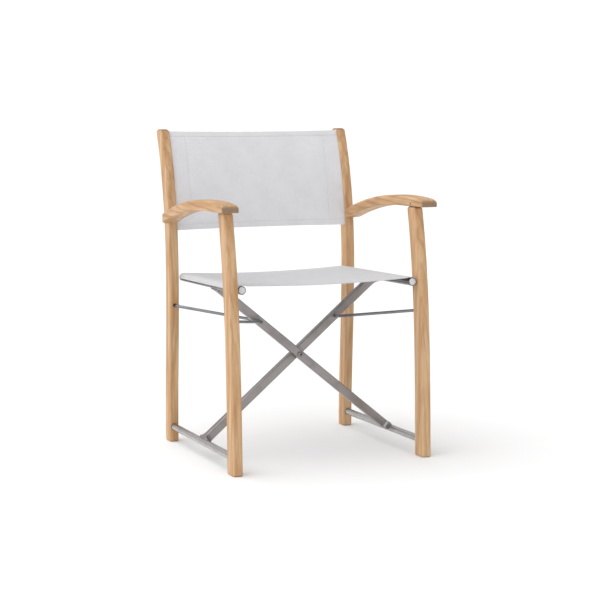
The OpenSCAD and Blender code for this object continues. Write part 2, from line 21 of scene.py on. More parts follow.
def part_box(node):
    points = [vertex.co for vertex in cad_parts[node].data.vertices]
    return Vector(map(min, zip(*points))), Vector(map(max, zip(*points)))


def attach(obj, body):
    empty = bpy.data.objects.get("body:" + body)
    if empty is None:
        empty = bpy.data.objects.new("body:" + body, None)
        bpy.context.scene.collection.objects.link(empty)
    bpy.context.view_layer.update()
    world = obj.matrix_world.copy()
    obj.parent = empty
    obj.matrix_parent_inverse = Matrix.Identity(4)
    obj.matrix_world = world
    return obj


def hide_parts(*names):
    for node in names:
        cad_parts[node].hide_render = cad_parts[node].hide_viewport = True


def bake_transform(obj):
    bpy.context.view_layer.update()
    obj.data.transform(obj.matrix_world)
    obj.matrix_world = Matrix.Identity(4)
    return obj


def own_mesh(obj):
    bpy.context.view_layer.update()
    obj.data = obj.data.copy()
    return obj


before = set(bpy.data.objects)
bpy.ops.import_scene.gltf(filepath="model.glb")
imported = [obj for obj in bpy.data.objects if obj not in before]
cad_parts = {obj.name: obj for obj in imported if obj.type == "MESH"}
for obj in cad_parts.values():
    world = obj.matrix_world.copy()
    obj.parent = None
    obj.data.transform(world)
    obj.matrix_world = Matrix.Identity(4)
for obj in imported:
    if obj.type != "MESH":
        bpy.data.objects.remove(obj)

log = logging.getLogger("director_chair")
logging.basicConfig(level=logging.INFO, format="%(name)s: %(message)s")

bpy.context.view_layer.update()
MM = 0.001
TOUCH = 0.01 * MM
SPECK = 0.005 * MM
Triple = tuple[float, float, float]
Colour = Triple
Socket = bpy.types.NodeSocket


class Side(Enum):
    """The two sides of the chair, as seen by someone who faces it."""

    LEFT = -1
    RIGHT = 1

    def named(self, stem: str) -> str:
        """Name of this side's copy of a node or piece."""
        return f"{stem}_{self.name.lower()}"


class Axis(Enum):
    """The direction along which a piece is drawn out."""

    X = 0
    Y = 1
    Z = 2

    def point(self, along: float, u: float, v: float) -> Vector:
        """A point from its place along this axis and across it."""
        return Vector({0: (along, u, v), 1: (u, along, v), 2: (u, v, along)}[self.value])


def srgb(red: int, green: int, blue: int) -> Colour:
    """Linear colour of an 8-bit display colour."""
    return tuple(
        c / 12.92 if c <= 0.04045 else ((c + 0.055) / 1.055) ** 2.4
        for c in (red / 255, green / 255, blue / 255)
    )


# ---------------------------------------------------------------- shop tools


@dataclass(frozen=True)
class Station:
    """A rectangular section of a piece that is drawn out along an axis."""

    at: float
    u0: float
    u1: float
    v0: float
    v1: float

    def centre(self, axis: Axis) -> Vector:
        """Middle of the section."""
        return axis.point(self.at, (self.u0 + self.u1) / 2, (self.v0 + self.v1) / 2)


def in_scene(name: str, data: object) -> bpy.types.Object:
    """A new object in the scene."""
    obj = bpy.data.objects.new(name, data)
    bpy.context.scene.collection.objects.link(obj)
    return obj


class Workpiece:
    """A mesh while it is being modelled."""

    def __init__(self, obj: bpy.types.Object, name: str) -> None:
        """Takes over a new object and names it."""
        self.obj = obj
        self.obj.name = name
        self.obj.data.name = name

    @staticmethod
    def clear_selection() -> None:
        """Deselects every object."""
        if bpy.context.mode != "OBJECT":
            bpy.ops.object.mode_set(mode="OBJECT")
        bpy.ops.object.select_all(action="DESELECT")

    @classmethod
    def block(cls, name: str, low: Vector, high: Vector) -> "Workpiece":
        """A rectangular block between two corners.

        Args:
            name: Name of the piece.
            low: Lowest corner.
            high: Highest corner.

        Returns:
            The block, with its place in its mesh.
        """
        cls.clear_selection()
        bpy.ops.mesh.primitive_cube_add(size=1, location=(low + high) / 2, scale=high - low)
        piece = cls(bpy.context.object, name)
        piece.settle()
        return piece

    @classmethod
    def rod(cls, name: str, start: Vector, end: Vector, radius: float, sides: int = 48) -> "Workpiece":
        """A round bar between two points.

        Args:
            name: Name of the piece.
            start: Middle of the first end.
            end: Middle of the other end.
            radius: Radius of the bar.
            sides: Number of sides.

        Returns:
            The bar, with its place in its mesh.
        """
        cls.clear_selection()
        way = end - start
        bpy.ops.mesh.primitive_cylinder_add(
            vertices=sides, radius=radius, depth=way.length, location=(start + end) / 2,
            rotation=way.to_track_quat("Z", "Y").to_euler(),
        )
        piece = cls(bpy.context.object, name)
        piece.settle()
        return piece

    @classmethod
    def copy_of(cls, node: str, name: str) -> "Workpiece":
        """A merged copy of a CAD node.

        Args:
            node: Name of the CAD node.
            name: Name of the new piece.

        Returns:
            The copy, with its loose triangles joined.
        """
        piece = cls(in_scene(name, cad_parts[node].data.copy()), name)
        with piece.editing():
            bpy.ops.mesh.select_all(action="SELECT")
            bpy.ops.mesh.remove_doubles(threshold=SPECK)
        piece.obj.data.materials.clear()
        return piece

    @classmethod
    def from_faces(
        cls, name: str, points: Sequence[Sequence[float]], faces: Sequence[tuple[int, ...]],
        unrolled: Callable[[bpy.types.MeshVertex], tuple[float, float]],
    ) -> "Workpiece":
        """A mesh of given points and faces, with a UV map in metres.

        Args:
            name: Name of the piece.
            points: Its points.
            faces: The numbers of each face's points.
            unrolled: Place of a point on the UV map.

        Returns:
            The piece.
        """
        data = bpy.data.meshes.new(name)
        data.from_pydata(points, [], faces)
        layer = data.uv_layers.new(name="UVMap")
        for loop in data.loops:
            layer.data[loop.index].uv = unrolled(data.vertices[loop.vertex_index])
        return cls(in_scene(name, data), name)

    def activate(self) -> None:
        """Makes this the only selected object."""
        self.clear_selection()
        self.obj.select_set(True)
        bpy.context.view_layer.objects.active = self.obj

    def settle(self) -> None:
        """Moves the object's place into its mesh."""
        self.activate()
        bpy.ops.object.transform_apply(location=True, rotation=True, scale=True)

    @contextmanager
    def editing(self) -> Iterator[None]:
        """Edit mode, left again at the end."""
        self.activate()
        bpy.ops.object.mode_set(mode="EDIT")
        yield
        bpy.ops.object.mode_set(mode="OBJECT")

    def pick(self, test: Callable[[bmesh.types.BMFace], bool]) -> None:
        """Selects the faces that pass a test, in edit mode."""
        bpy.ops.mesh.select_mode(type="FACE")
        bpy.ops.mesh.select_all(action="DESELECT")
        drawing = bmesh.from_edit_mesh(self.obj.data)
        for face in drawing.faces:
            if test(face):
                face.select_set(True)
        drawing.select_flush_mode()
        bmesh.update_edit_mesh(self.obj.data)

    def fit_section(self, axis: Axis, before: Station, here: Station) -> None:
        """Scales the selected end face from one section's size to another's, in edit mode."""
        across = (
            (here.u1 - here.u0) / (before.u1 - before.u0),
            (here.v1 - here.v0) / (before.v1 - before.v0),
        )
        bpy.ops.transform.resize(value=axis.point(1, *across), center_override=here.centre(axis))

    def draw_out(self, axis: Axis, stations: Sequence[Station]) -> None:
        """Extrudes the end of a piece through a row of sections.

        Args:
            axis: Direction in which the piece is drawn out.
            stations: Sections in order. The piece's own end is the first.
        """
        with self.editing():
            end = stations[0].at
            self.pick(lambda f: abs(f.calc_center_median()[axis.value] - end) < TOUCH)
            for before, here in zip(stations, stations[1:]):
                step = here.centre(axis) - before.centre(axis)
                bpy.ops.mesh.extrude_region_move(TRANSFORM_OT_translate={"value": step})
                self.fit_section(axis, before, here)

    @classmethod
    def drawn(cls, name: str, axis: Axis, stations: Sequence[Station]) -> "Workpiece":
        """A piece that is drawn out through a row of sections.

        Args:
            name: Name of the piece.
            axis: Direction in which it is drawn out.
            stations: Its sections in rising order.

        Returns:
            The piece.
        """
        first, second = stations[0], stations[1]
        piece = cls.block(
            name, axis.point(first.at, first.u0, first.v0), axis.point(second.at, first.u1, first.v1))
        with piece.editing():
            piece.pick(lambda f: abs(f.calc_center_median()[axis.value] - second.at) < TOUCH)
            shift = second.centre(axis) - first.centre(axis)
            shift[axis.value] = 0
            bpy.ops.transform.translate(value=shift)
            piece.fit_section(axis, first, second)
        piece.draw_out(axis, stations[1:])
        return piece

    def modify(self, kind: str, **settings: object) -> None:
        """Adds a modifier and applies it.

        Args:
            kind: Blender's name for the modifier.
            settings: Its values.
        """
        self.activate()
        modifier = self.obj.modifiers.new(kind.title(), kind)
        for key, value in settings.items():
            setattr(modifier, key, value)
        bpy.ops.object.modifier_apply(modifier=modifier.name)

    def cut(self, cutter: "Workpiece") -> None:
        """Cuts another piece out of this one, and uses it up."""
        self.modify("BOOLEAN", operation="DIFFERENCE", object=cutter.obj, solver="EXACT")
        bpy.data.objects.remove(cutter.obj)

    def ease(self, radius: float, weights: Callable[[object], float], segments: int = 4) -> None:
        """Rounds edges over, each by its own share of a radius.

        Args:
            radius: Largest radius.
            weights: Share of the radius for an edge, 0 where it stays sharp.
            segments: Faces across the rounding.
        """
        with self.editing():
            drawing = bmesh.from_edit_mesh(self.obj.data)
            layer = drawing.edges.layers.float.get("bevel_weight_edge") or \
                drawing.edges.layers.float.new("bevel_weight_edge")
            for edge in drawing.edges:
                edge[layer] = weights(edge)
            bmesh.update_edit_mesh(self.obj.data)
        self.modify(
            "BEVEL", width=radius, segments=segments, limit_method="WEIGHT", use_clamp_overlap=False)

    def reshape(self, move: Callable[[Vector], Vector]) -> None:
        """Moves every point by a rule."""
        for vertex in self.obj.data.vertices:
            vertex.co = move(vertex.co.copy())
        self.obj.data.update()

    def smooth(self, angle: float = 35) -> None:
        """Shades the piece smooth, with an edge where faces meet at more than an angle in degrees."""
        self.activate()
        bpy.ops.object.shade_smooth_by_angle(angle=math.radians(angle))

    def shade_evenly(self, angle: float = 35) -> None:
        """Shades the piece smooth, with its normals led by its larger faces."""
        self.smooth(angle)
        self.modify("WEIGHTED_NORMAL", keep_sharp=True)

    def hand_over(
        self, finish: "Finish", slot: str, body: Optional[str], nodes: Sequence[str] = ()
    ) -> bpy.types.Object:
        """Gives the piece its finish and fixes it to its body.

        Args:
            finish: The finish that it takes.
            slot: Not used.
            body: The body that carries it, or None where the caller settles that.
            nodes: The CAD nodes that it stands for.

        Returns:
            The finished object.
        """
        self.obj.data.materials.append(finish.material())
        if nodes:
            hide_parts(*nodes)
        if body:
            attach(self.obj, body)
        log.info("%s: %d faces, %s", self.obj.name, len(self.obj.data.polygons), finish.name)
        return self.obj


# ---------------------------------------------------------------- finishes


class Wiring:
    """Places and joins the nodes of a material or a node group."""

    def __init__(self, tree: bpy.types.NodeTree) -> None:
        """Works in one node tree."""
        self.tree = tree

    def add(self, kind: str, inputs: Optional[dict] = None, **settings: object) -> bpy.types.Node:
        """A node with its inputs set or joined.

        Args:
            kind: Blender's name for the node.
            inputs: Socket name or number to a value or to a socket.
            settings: The node's own settings.

        Returns:
            The node.
        """
        node = self.tree.nodes.new(kind)
        for key, value in settings.items():
            setattr(node, key, value)
        self.fill(node, inputs or {})
        return node

    def fill(self, node: bpy.types.Node, inputs: dict) -> None:
        """Joins a node's inputs to sockets, or sets them to values."""
        for key, value in inputs.items():
            if isinstance(value, Socket):
                self.tree.links.new(value, node.inputs[key])
            else:
                node.inputs[key].default_value = value

    def math(self, operation: str, *values: Union[float, Socket]) -> Socket:
        """A Math node's result."""
        return self.add("ShaderNodeMath", dict(enumerate(values)), operation=operation).outputs[0]

    def vector_math(self, operation: str, first: Socket, second: object) -> Socket:
        """A Vector Math node's vector."""
        return self.add("ShaderNodeVectorMath", {0: first, 1: second}, operation=operation).outputs[0]

    def scaled(self, vector: Socket, factors: Sequence[float]) -> Socket:
        """A vector multiplied axis by axis."""
        return self.vector_math("MULTIPLY", vector, factors)

    def noise(self, vector: Socket, scale: float, detail: float = 2, rough: float = 0.5) -> Socket:
        """A noise texture's value."""
        inputs = {"Vector": vector, "Scale": scale, "Detail": detail, "Roughness": rough}
        return self.add("ShaderNodeTexNoise", inputs).outputs["Fac"]

    def ramp(
        self, value: Socket, low: float, high: float, to_low: float = 0, to_high: float = 1
    ) -> Socket:
        """A value mapped smoothly from one range to another."""
        return self.add(
            "ShaderNodeMapRange",
            {"Value": value, "From Min": low, "From Max": high, "To Min": to_low, "To Max": to_high},
            interpolation_type="SMOOTHSTEP",
        ).outputs["Result"]

    def mix(self, factor: Union[float, Socket], first: object, second: object) -> Socket:
        """Two colours mixed."""
        return self.add("ShaderNodeMix", {0: factor, 6: first, 7: second}, data_type="RGBA").outputs[2]

    def bump(self, height: Socket, distance: float, strength: float = 1) -> Socket:
        """A normal from a height."""
        inputs = {"Height": height, "Distance": distance, "Strength": strength}
        return self.add("ShaderNodeBump", inputs).outputs["Normal"]


def opaque(colour: Colour) -> tuple[float, float, float, float]:
    """A colour with full alpha."""
    return (*colour, 1.0)


class EffectGroup:
    """A shared node group, built once and placed in each material that uses it."""

    name = ""
    inputs: Sequence[tuple[str, str]] = ()
    outputs: Sequence[tuple[str, str]] = ()

    def tree(self) -> bpy.types.NodeTree:
        """The group's tree, built on first use."""
        found = bpy.data.node_groups.get(self.name)
        if found:
            return found
        tree = bpy.data.node_groups.new(self.name, "ShaderNodeTree")
        for way, sockets in (("INPUT", self.inputs), ("OUTPUT", self.outputs)):
            for socket, kind in sockets:
                tree.interface.new_socket(name=socket, in_out=way, socket_type=f"NodeSocket{kind}")
        wires = Wiring(tree)
        wires.add("NodeGroupOutput", self.wire(wires, wires.add("NodeGroupInput").outputs))
        return tree

    def wire(self, wires: Wiring, entry: bpy.types.NodeOutputs) -> dict[str, Socket]:
        """Joins the group's nodes.

        Args:
            wires: The tree's wiring.
            entry: The group's input sockets.

        Returns:
            Output name to socket.
        """
        raise NotImplementedError

    def place(self, wires: Wiring, values: dict) -> bpy.types.NodeOutputs:
        """The group's outputs in a material, with its inputs set."""
        node = wires.add("ShaderNodeGroup")
        node.node_tree = self.tree()
        wires.fill(node, values)
        return node.outputs


class TimberGroup(EffectGroup):
    """Straight-grained timber whose grain runs along the group's Z."""

    name = "timber_grain"
    inputs = (
        ("Vector", "Vector"), ("Pale", "Color"), ("Warm", "Color"), ("Line", "Color"),
        ("End", "Color"), ("Figure", "Float"), ("Facing", "Float"),
    )
    outputs = (("Color", "Color"), ("Height", "Float"), ("Gloss", "Float"))

    def wire(self, wires: Wiring, entry: bpy.types.NodeOutputs) -> dict[str, Socket]:
        """Broad figure, growth lines, fibres and open pores."""
        def stretched(share: float) -> Socket:
            """The place with its length along the grain cut down to a share."""
            return wires.scaled(entry["Vector"], (1, 1, share))

        along = stretched(0.07)
        bend = wires.add("ShaderNodeTexNoise", {"Vector": along, "Scale": 16.0, "Detail": 1.0})
        wander = wires.vector_math("SUBTRACT", bend.outputs["Color"], (0.5, 0.5, 0.5))
        bent = wires.vector_math("ADD", along, wires.scaled(wander, (0.010, 0.010, 0.0)))
        broad = wires.ramp(wires.noise(bent, 58, 3, 0.6), 0.34, 0.66)
        rings = wires.add(
            "ShaderNodeTexWave",
            {"Vector": bent, "Scale": 34.0, "Distortion": 6.5, "Detail": 3.0, "Detail Scale": 1.6},
            bands_direction="DIAGONAL",
        ).outputs["Fac"]
        line = wires.math("MULTIPLY", wires.ramp(rings, 0.62, 1.0), entry["Figure"])
        fibre = wires.noise(stretched(0.03), 900, 3, 0.6)
        pores = wires.ramp(wires.noise(stretched(0.045), 1500, 2, 0.5), 0.66, 0.76)
        patch = wires.ramp(wires.noise(stretched(0.25), 21, 2), 0.52, 0.72, 0, 0.45)
        tone = wires.mix(broad, entry["Pale"], entry["Warm"])
        for share, colour in (
                (line, "Line"), (wires.ramp(fibre, 0.35, 0.8, 0, 0.14), "Line"),
                (wires.math("MULTIPLY", pores, 0.30), "Line"), (patch, "Warm"),
                (wires.ramp(entry["Facing"], 0.35, 0.92, 0, 0.85), "End")):
            tone = wires.mix(share, tone, entry[colour])
        height = wires.math("SUBTRACT", wires.math("MULTIPLY", fibre, 0.5), pores)
        dulling = wires.math("ADD", fibre, wires.math("MULTIPLY", broad, 0.4))
        gloss = wires.ramp(dulling, 0.4, 1.0, 0.44, 0.62)
        return {"Color": tone, "Height": height, "Gloss": gloss}


class ScuffGroup(EffectGroup):
    """Fine brushing along the group's Z with faint handling marks."""

    name = "fine_scuffs"
    inputs = (
        ("Vector", "Vector"), ("Clean", "Color"), ("Worn", "Color"), ("Rough", "Float"),
        ("Spread", "Float"),
    )
    outputs = (("Color", "Color"), ("Roughness", "Float"), ("Height", "Float"))

    def wire(self, wires: Wiring, entry: bpy.types.NodeOutputs) -> dict[str, Socket]:
        """Brush lines, clouds of dulling and light smears."""
        lines = wires.noise(wires.scaled(entry["Vector"], (1, 1, 0.02)), 1400, 3, 0.6)
        cloud = wires.noise(entry["Vector"], 26, 3)
        mark = wires.math("MULTIPLY", wires.ramp(cloud, 0.45, 0.75), 0.6)
        tone = wires.mix(mark, entry["Clean"], entry["Worn"])
        swing = wires.math("SUBTRACT", wires.math("ADD", lines, wires.math("MULTIPLY", cloud, 0.5)), 0.75)
        rough = wires.math("ADD", entry["Rough"], wires.math("MULTIPLY", swing, entry["Spread"]))
        return {"Color": tone, "Roughness": rough, "Height": lines}


class WeaveGroup(EffectGroup):
    """Plain weave of round coated yarns, drawn on a UV map in metres, with painted shade where the yarns
    dip.
    """

    name = "yarn_weave"
    inputs = (("Vector", "Vector"), ("Pitch", "Float"), ("Yarn", "Color"), ("Gap", "Color"))
    outputs = (("Color", "Color"), ("Height", "Float"), ("Roughness", "Float"))

    def wire(self, wires: Wiring, entry: bpy.types.NodeOutputs) -> dict[str, Socket]:
        """Warp over weft in turn, with slubs that run along the yarns, and painted shade where the yarns
        dip under.
        """
        axes = wires.add("ShaderNodeSeparateXYZ", {0: entry["Vector"]}).outputs
        turns = [wires.math("MULTIPLY", axes[k], math.pi) for k in (0, 1)]
        waves = [wires.math("SINE", wires.math("DIVIDE", turn, entry["Pitch"])) for turn in turns]
        crossing = wires.math("MULTIPLY", *waves)
        over = wires.ramp(crossing, -0.06, 0.06)
        warp, weft = (wires.math("ABSOLUTE", wave) for wave in waves)
        under = wires.math("SUBTRACT", 1.0, over)
        weft_rise = wires.math("MULTIPLY", wires.math("MULTIPLY", weft, under), 0.92)
        rise = wires.math("ADD", wires.math("MULTIPLY", warp, over), weft_rise)
        slub = wires.math("ADD", *(
            wires.noise(wires.scaled(entry["Vector"], way), 520, 2)
            for way in ((1.0, 0.05, 1.0), (0.05, 1.0, 1.0))))
        # Painted shade: yarn high in the weave takes the yarn colour, and yarn that dips under takes the
        # darker second colour; the slubs add random tone.
        lit = wires.math("ADD", wires.math("MULTIPLY", rise, 0.62), wires.math("MULTIPLY", slub, 0.34))
        tone = wires.mix(wires.ramp(lit, 0.28, 0.86), entry["Gap"], entry["Yarn"])
        return {"Color": tone, "Height": rise, "Roughness": wires.ramp(slub, 0.7, 1.3, 0.55, 0.72)}


@dataclass(frozen=True)
class Finish:
    """A surface finish, made into a material on first use."""

    name: str

    def material(self) -> bpy.types.Material:
        """The finish's material."""
        found = bpy.data.materials.get(self.name)
        if found:
            return found
        made = bpy.data.materials.new(self.name)
        made.use_nodes = True
        made.node_tree.nodes.clear()
        wires = Wiring(made.node_tree)
        shader = wires.add("ShaderNodeBsdfPrincipled")
        wires.add("ShaderNodeOutputMaterial", {"Surface": shader.outputs[0]})
        self.dress(wires, shader)
        return made

    def dress(self, wires: Wiring, shader: bpy.types.Node) -> None:
        """Joins the finish's nodes to its shader."""
        raise NotImplementedError



@dataclass(frozen=True)
class Timber(Finish):
    """Sanded and oiled timber."""

    pale: Colour
    warm: Colour
    line: Colour
    end: Colour
    figure: float
    grain_way: Triple
    turn: Triple
    shift: Triple

    def dress(self, wires: Wiring, shader: bpy.types.Node) -> None:
        """Grain that is turned along the piece and shifted so that no two pieces match."""
        coordinates = wires.add("ShaderNodeTexCoord").outputs
        turned = wires.add(
            "ShaderNodeMapping",
            {"Vector": coordinates["Object"], "Rotation": self.turn, "Location": self.shift},
        ).outputs[0]
        facing = wires.add(
            "ShaderNodeVectorMath", {0: coordinates["Normal"], 1: self.grain_way}, operation="DOT_PRODUCT"
        ).outputs["Value"]
        grain = TimberGroup().place(wires, {
            "Facing": wires.math("ABSOLUTE", facing), "End": opaque(self.end),
            "Vector": turned, "Pale": opaque(self.pale), "Warm": opaque(self.warm),
            "Line": opaque(self.line), "Figure": self.figure,
        })
        wires.fill(shader, {
            "Base Color": grain["Color"], "Roughness": grain["Gloss"],
            "Normal": wires.bump(grain["Height"], 0.25 * MM, 0.5),
            "Specular IOR Level": 0.32, "Coat Weight": 0.05, "Coat Roughness": 0.35,
        })


@dataclass(frozen=True)
class Steel(Finish):
    """Stainless steel, brushed or polished."""

    clean: Colour
    worn: Colour
    rough: float
    spread: float
    relief: float
    turn: Triple = (0.0, 0.0, 0.0)

    def dress(self, wires: Wiring, shader: bpy.types.Node) -> None:
        """Brushing along the piece, with faint marks."""
        place = wires.add("ShaderNodeTexCoord").outputs["Object"]
        turned = wires.add("ShaderNodeMapping", {"Vector": place, "Rotation": self.turn}).outputs[0]
        scuffs = ScuffGroup().place(wires, {
            "Vector": turned, "Clean": opaque(self.clean), "Worn": opaque(self.worn),
            "Rough": self.rough, "Spread": self.spread,
        })
        wires.fill(shader, {
            "Base Color": scuffs["Color"], "Roughness": scuffs["Roughness"], "Metallic": 1.0,
            "Normal": wires.bump(scuffs["Height"], self.relief * MM, 0.4),
        })


@dataclass(frozen=True)
class Moulded(Finish):
    """Moulded plastic with a fine matt skin."""

    clean: Colour
    worn: Colour

    def dress(self, wires: Wiring, shader: bpy.types.Node) -> None:
        """A faint orange-peel skin with handling marks."""
        place = wires.add("ShaderNodeTexCoord").outputs["Object"]
        scuffs = ScuffGroup().place(wires, {
            "Vector": place, "Clean": opaque(self.clean), "Worn": opaque(self.worn),
            "Rough": 0.42, "Spread": 0.25,
        })
        wires.fill(shader, {
            "Base Color": scuffs["Color"], "Roughness": scuffs["Roughness"],
            "Normal": wires.bump(wires.noise(place, 2200, 2), 0.05 * MM, 0.4),
            "Subsurface Weight": 0.08, "Subsurface Scale": 1.5 * MM,
        })


@dataclass(frozen=True)
class Woven(Finish):
    """Coated mesh or sewing thread, on its UV map."""

    yarn: Colour
    # Darker colour: painted shade where the yarns dip, and the tone of the random clouds.
    gap: Colour
    pitch: float
    relief: float

    def dress(self, wires: Wiring, shader: bpy.types.Node) -> None:
        """Weave with painted shade in its dips, over soft clouds of tone."""
        cloth = wires.add("ShaderNodeUVMap", uv_map="UVMap").outputs["UV"]
        weave = WeaveGroup().place(wires, {
            "Vector": cloth, "Pitch": self.pitch, "Yarn": opaque(self.yarn), "Gap": opaque(self.gap),
        })
        # Clouds of random tone, mixed toward the same colour that the weave uses for its painted dip shade.
        cloud = wires.ramp(wires.noise(cloth, 16, 3), 0.3, 0.7, 0.0, 0.18)
        tone = wires.mix(cloud, weave["Color"], opaque(self.gap))
        wires.fill(shader, {
            "Base Color": tone, "Roughness": weave["Roughness"],
            "Normal": wires.bump(weave["Height"], self.relief * MM, 0.6),
            "Sheen Weight": 0.12, "Sheen Roughness": 0.5, "Specular IOR Level": 0.35,
        })


@dataclass(frozen=True)
class Backdrop(Finish):
    """Plain pale studio floor."""

    shade: Colour

    def dress(self, wires: Wiring, shader: bpy.types.Node) -> None:
        """A very faint cloud over an even tone."""
        place = wires.add("ShaderNodeTexCoord").outputs["Object"]
        darker = tuple(0.985 * c for c in self.shade)
        tone = wires.mix(wires.noise(place, 1.5, 2), opaque(self.shade), opaque(darker))
        wires.fill(shader, {"Base Color": tone, "Roughness": 0.9, "Specular IOR Level": 0.1})


PALE, WARM, LINE, END = srgb(216, 180, 140), srgb(192, 149, 105), srgb(142, 102, 68), srgb(132, 112, 94)
ALONG_Z = (0.0, 0.0, 0.0)
ALONG_Y = (math.pi / 2, 0.0, 0.0)
END_GRAIN = (0.0, math.pi / 2, 0.0)
# Each cloth's second colour is painted shade for the dips of its weave.
BACK_CLOTH = Woven("back_mesh", srgb(240, 240, 243), srgb(202, 203, 208), 1.9 * MM, 0.45)
# The seat is the same coated mesh as the back, made darker all over as painted shade.
SHADED_SEAT_CLOTH = Woven("seat_mesh_painted_shade", srgb(218, 219, 222), srgb(182, 184, 188), 1.9 * MM, 0.45)
THREAD = Woven("sewing_thread", srgb(226, 226, 229), srgb(190, 191, 196), 0.35 * MM, 0.1)
NYLON = Moulded("white_nylon", srgb(214, 215, 217), srgb(192, 193, 196))
# Painted shade: a near-black finish for the disc that stands for the shadow inside the pivot bolt's key
# socket.
PAINTED_SOCKET_SHADE = Moulded("painted_socket_shade", srgb(30, 30, 32), srgb(44, 44, 46))
BLACK_NYLON = Moulded("dark_nylon", srgb(60, 60, 62), srgb(90, 90, 92))


def timber(name: str, turn: Triple, shift: Triple, figure: float = 0.24) -> Timber:
    """The chair's timber, cut from its own part of the board."""
    back = Matrix.Rotation(-turn[0], 3, "X") @ Matrix.Rotation(-turn[1], 3, "Y")
    grain_way = tuple(back @ Vector((0, 0, 1)))
    return Timber(f"timber_{name}", PALE, WARM, LINE, END, figure, grain_way, turn, shift)


def satin(name: str, turn: Triple) -> Steel:
    """Satin stainless steel that is brushed along a direction."""
    return Steel(f"satin_{name}", srgb(156, 151, 150), srgb(132, 127, 126), 0.34, 0.22, 0.03, turn)


POLISHED = Steel("rod_steel", srgb(134, 134, 138), srgb(96, 96, 99), 0.12, 0.12, 0.006, ALONG_Y)
RAIL = Steel("rail_steel", srgb(98, 98, 100), srgb(70, 70, 72), 0.2, 0.12, 0.01, ALONG_Y)
TUBE = Steel("tube_steel", srgb(186, 184, 184), srgb(164, 161, 160), 0.27, 0.08, 0.01, ALONG_Y)
BOLT_STEEL = Steel("bolt_steel", srgb(150, 146, 145), srgb(122, 118, 117), 0.33, 0.15, 0.01, ALONG_Y)


# ---------------------------------------------------------------- the chair's lines


@dataclass(frozen=True)
class Lines:
    """Sizes and curves of the chair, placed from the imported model."""

    post_height: float = 870 * MM
    arm_height: float = 664 * MM
    seat_height: float = 465.5 * MM
    leg_width: float = 26 * MM
    front_leg_depth: float = 46 * MM
    front_leg_top_depth: float = 43 * MM
    rear_leg_depth: float = 39.5 * MM
    front_leg_rake: float = 52 * MM
    rear_leg_bow: float = 69 * MM
    post_rake: float = 44 * MM
    foot_spacing: float = 483 * MM
    arm_width: float = 47 * MM
    arm_thickness: float = 27.5 * MM
    arm_arch: float = 1090 * MM
    arm_setback: float = 10 * MM
    arm_crown: float = 140 * MM
    nose_drop: float = 10 * MM
    nose_length: float = 24 * MM
    rail_d: float = 22 * MM
    rail_fall: float = 5 * MM
    sling_thickness: float = 1 * MM
    sling_gap: float = 0.3 * MM
    seat_sag: float = 7 * MM
    seat_slot_angle: float = 10
    back_inset: float = 8 * MM

    @cached_property
    def y_front(self) -> float:
        """Front of the front feet."""
        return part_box("front_leg_right")[0].y

    @cached_property
    def y_rear(self) -> float:
        """Front of the rear feet."""
        return self.y_front + self.foot_spacing

    @cached_property
    def leg_inner_x(self) -> float:
        """Inner faces of the legs."""
        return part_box("front_leg_right")[0].x

    @cached_property
    def rail_x(self) -> float:
        """Middle line of the right seat rail."""
        low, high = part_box("seat_rail_right")
        return (low.x + high.x) / 2

    @staticmethod
    def bow(b1: float, b2: float, b3: float, t: float) -> float:
        """A cubic curve that starts at nothing."""
        return 3 * b1 * t * (1 - t) ** 2 + 3 * b2 * t * t * (1 - t) + b3 * t ** 3

    def front_face(self, z: float) -> float:
        """Front of the front legs at a height."""
        return self.y_front + self.bow(4 * MM, 4 * MM, self.front_leg_rake, z / self.arm_height)

    def front_back(self, z: float) -> float:
        """Rear of the front legs at a height."""
        taper = self.front_leg_top_depth - self.front_leg_depth
        return self.front_face(z) + self.front_leg_depth + taper * (z / self.arm_height)

    def rear_face(self, z: float) -> float:
        """Front of the rear legs at a height."""
        return self.y_rear + self.bow(0, -self.rear_leg_bow, self.post_rake, z / self.post_height)

    def arch(self, y: float) -> float:
        """Fall of the armrests' arch at a place along them."""
        run = y - (self.y_front + self.arm_crown)
        return self.arm_arch - math.sqrt(self.arm_arch ** 2 - run * run)

    def arm_top(self, y: float) -> float:
        """Top of the armrests."""
        along = (y - self.y_front - self.arm_setback) / self.nose_length
        nose = 0 if along >= 1 else self.nose_drop * (1 - math.sqrt(max(0, 1 - (1 - along) ** 2)))
        return self.arm_height + self.arm_thickness - self.arch(y) - nose

    def arm_under(self, y: float) -> float:
        """Underside of the armrests."""
        return self.arm_height - (self.arch(y) if y > self.y_front + self.arm_crown else 0)

    def back_line(self, z: float) -> float:
        """Middle of the back sling at a height."""
        return self.rear_face(z) + self.back_inset


LINES = Lines()


def runs_along(axis: Axis) -> Callable[[bmesh.types.BMEdge], bool]:
    """A test for edges that run along an axis."""
    def test(edge: bmesh.types.BMEdge) -> bool:
        """Whether the edge leaves the axis by less than about 35 degrees."""
        way = edge.verts[1].co - edge.verts[0].co
        return abs(way[axis.value]) > 0.8 * way.length
    return test


# ---------------------------------------------------------------- wooden side frames


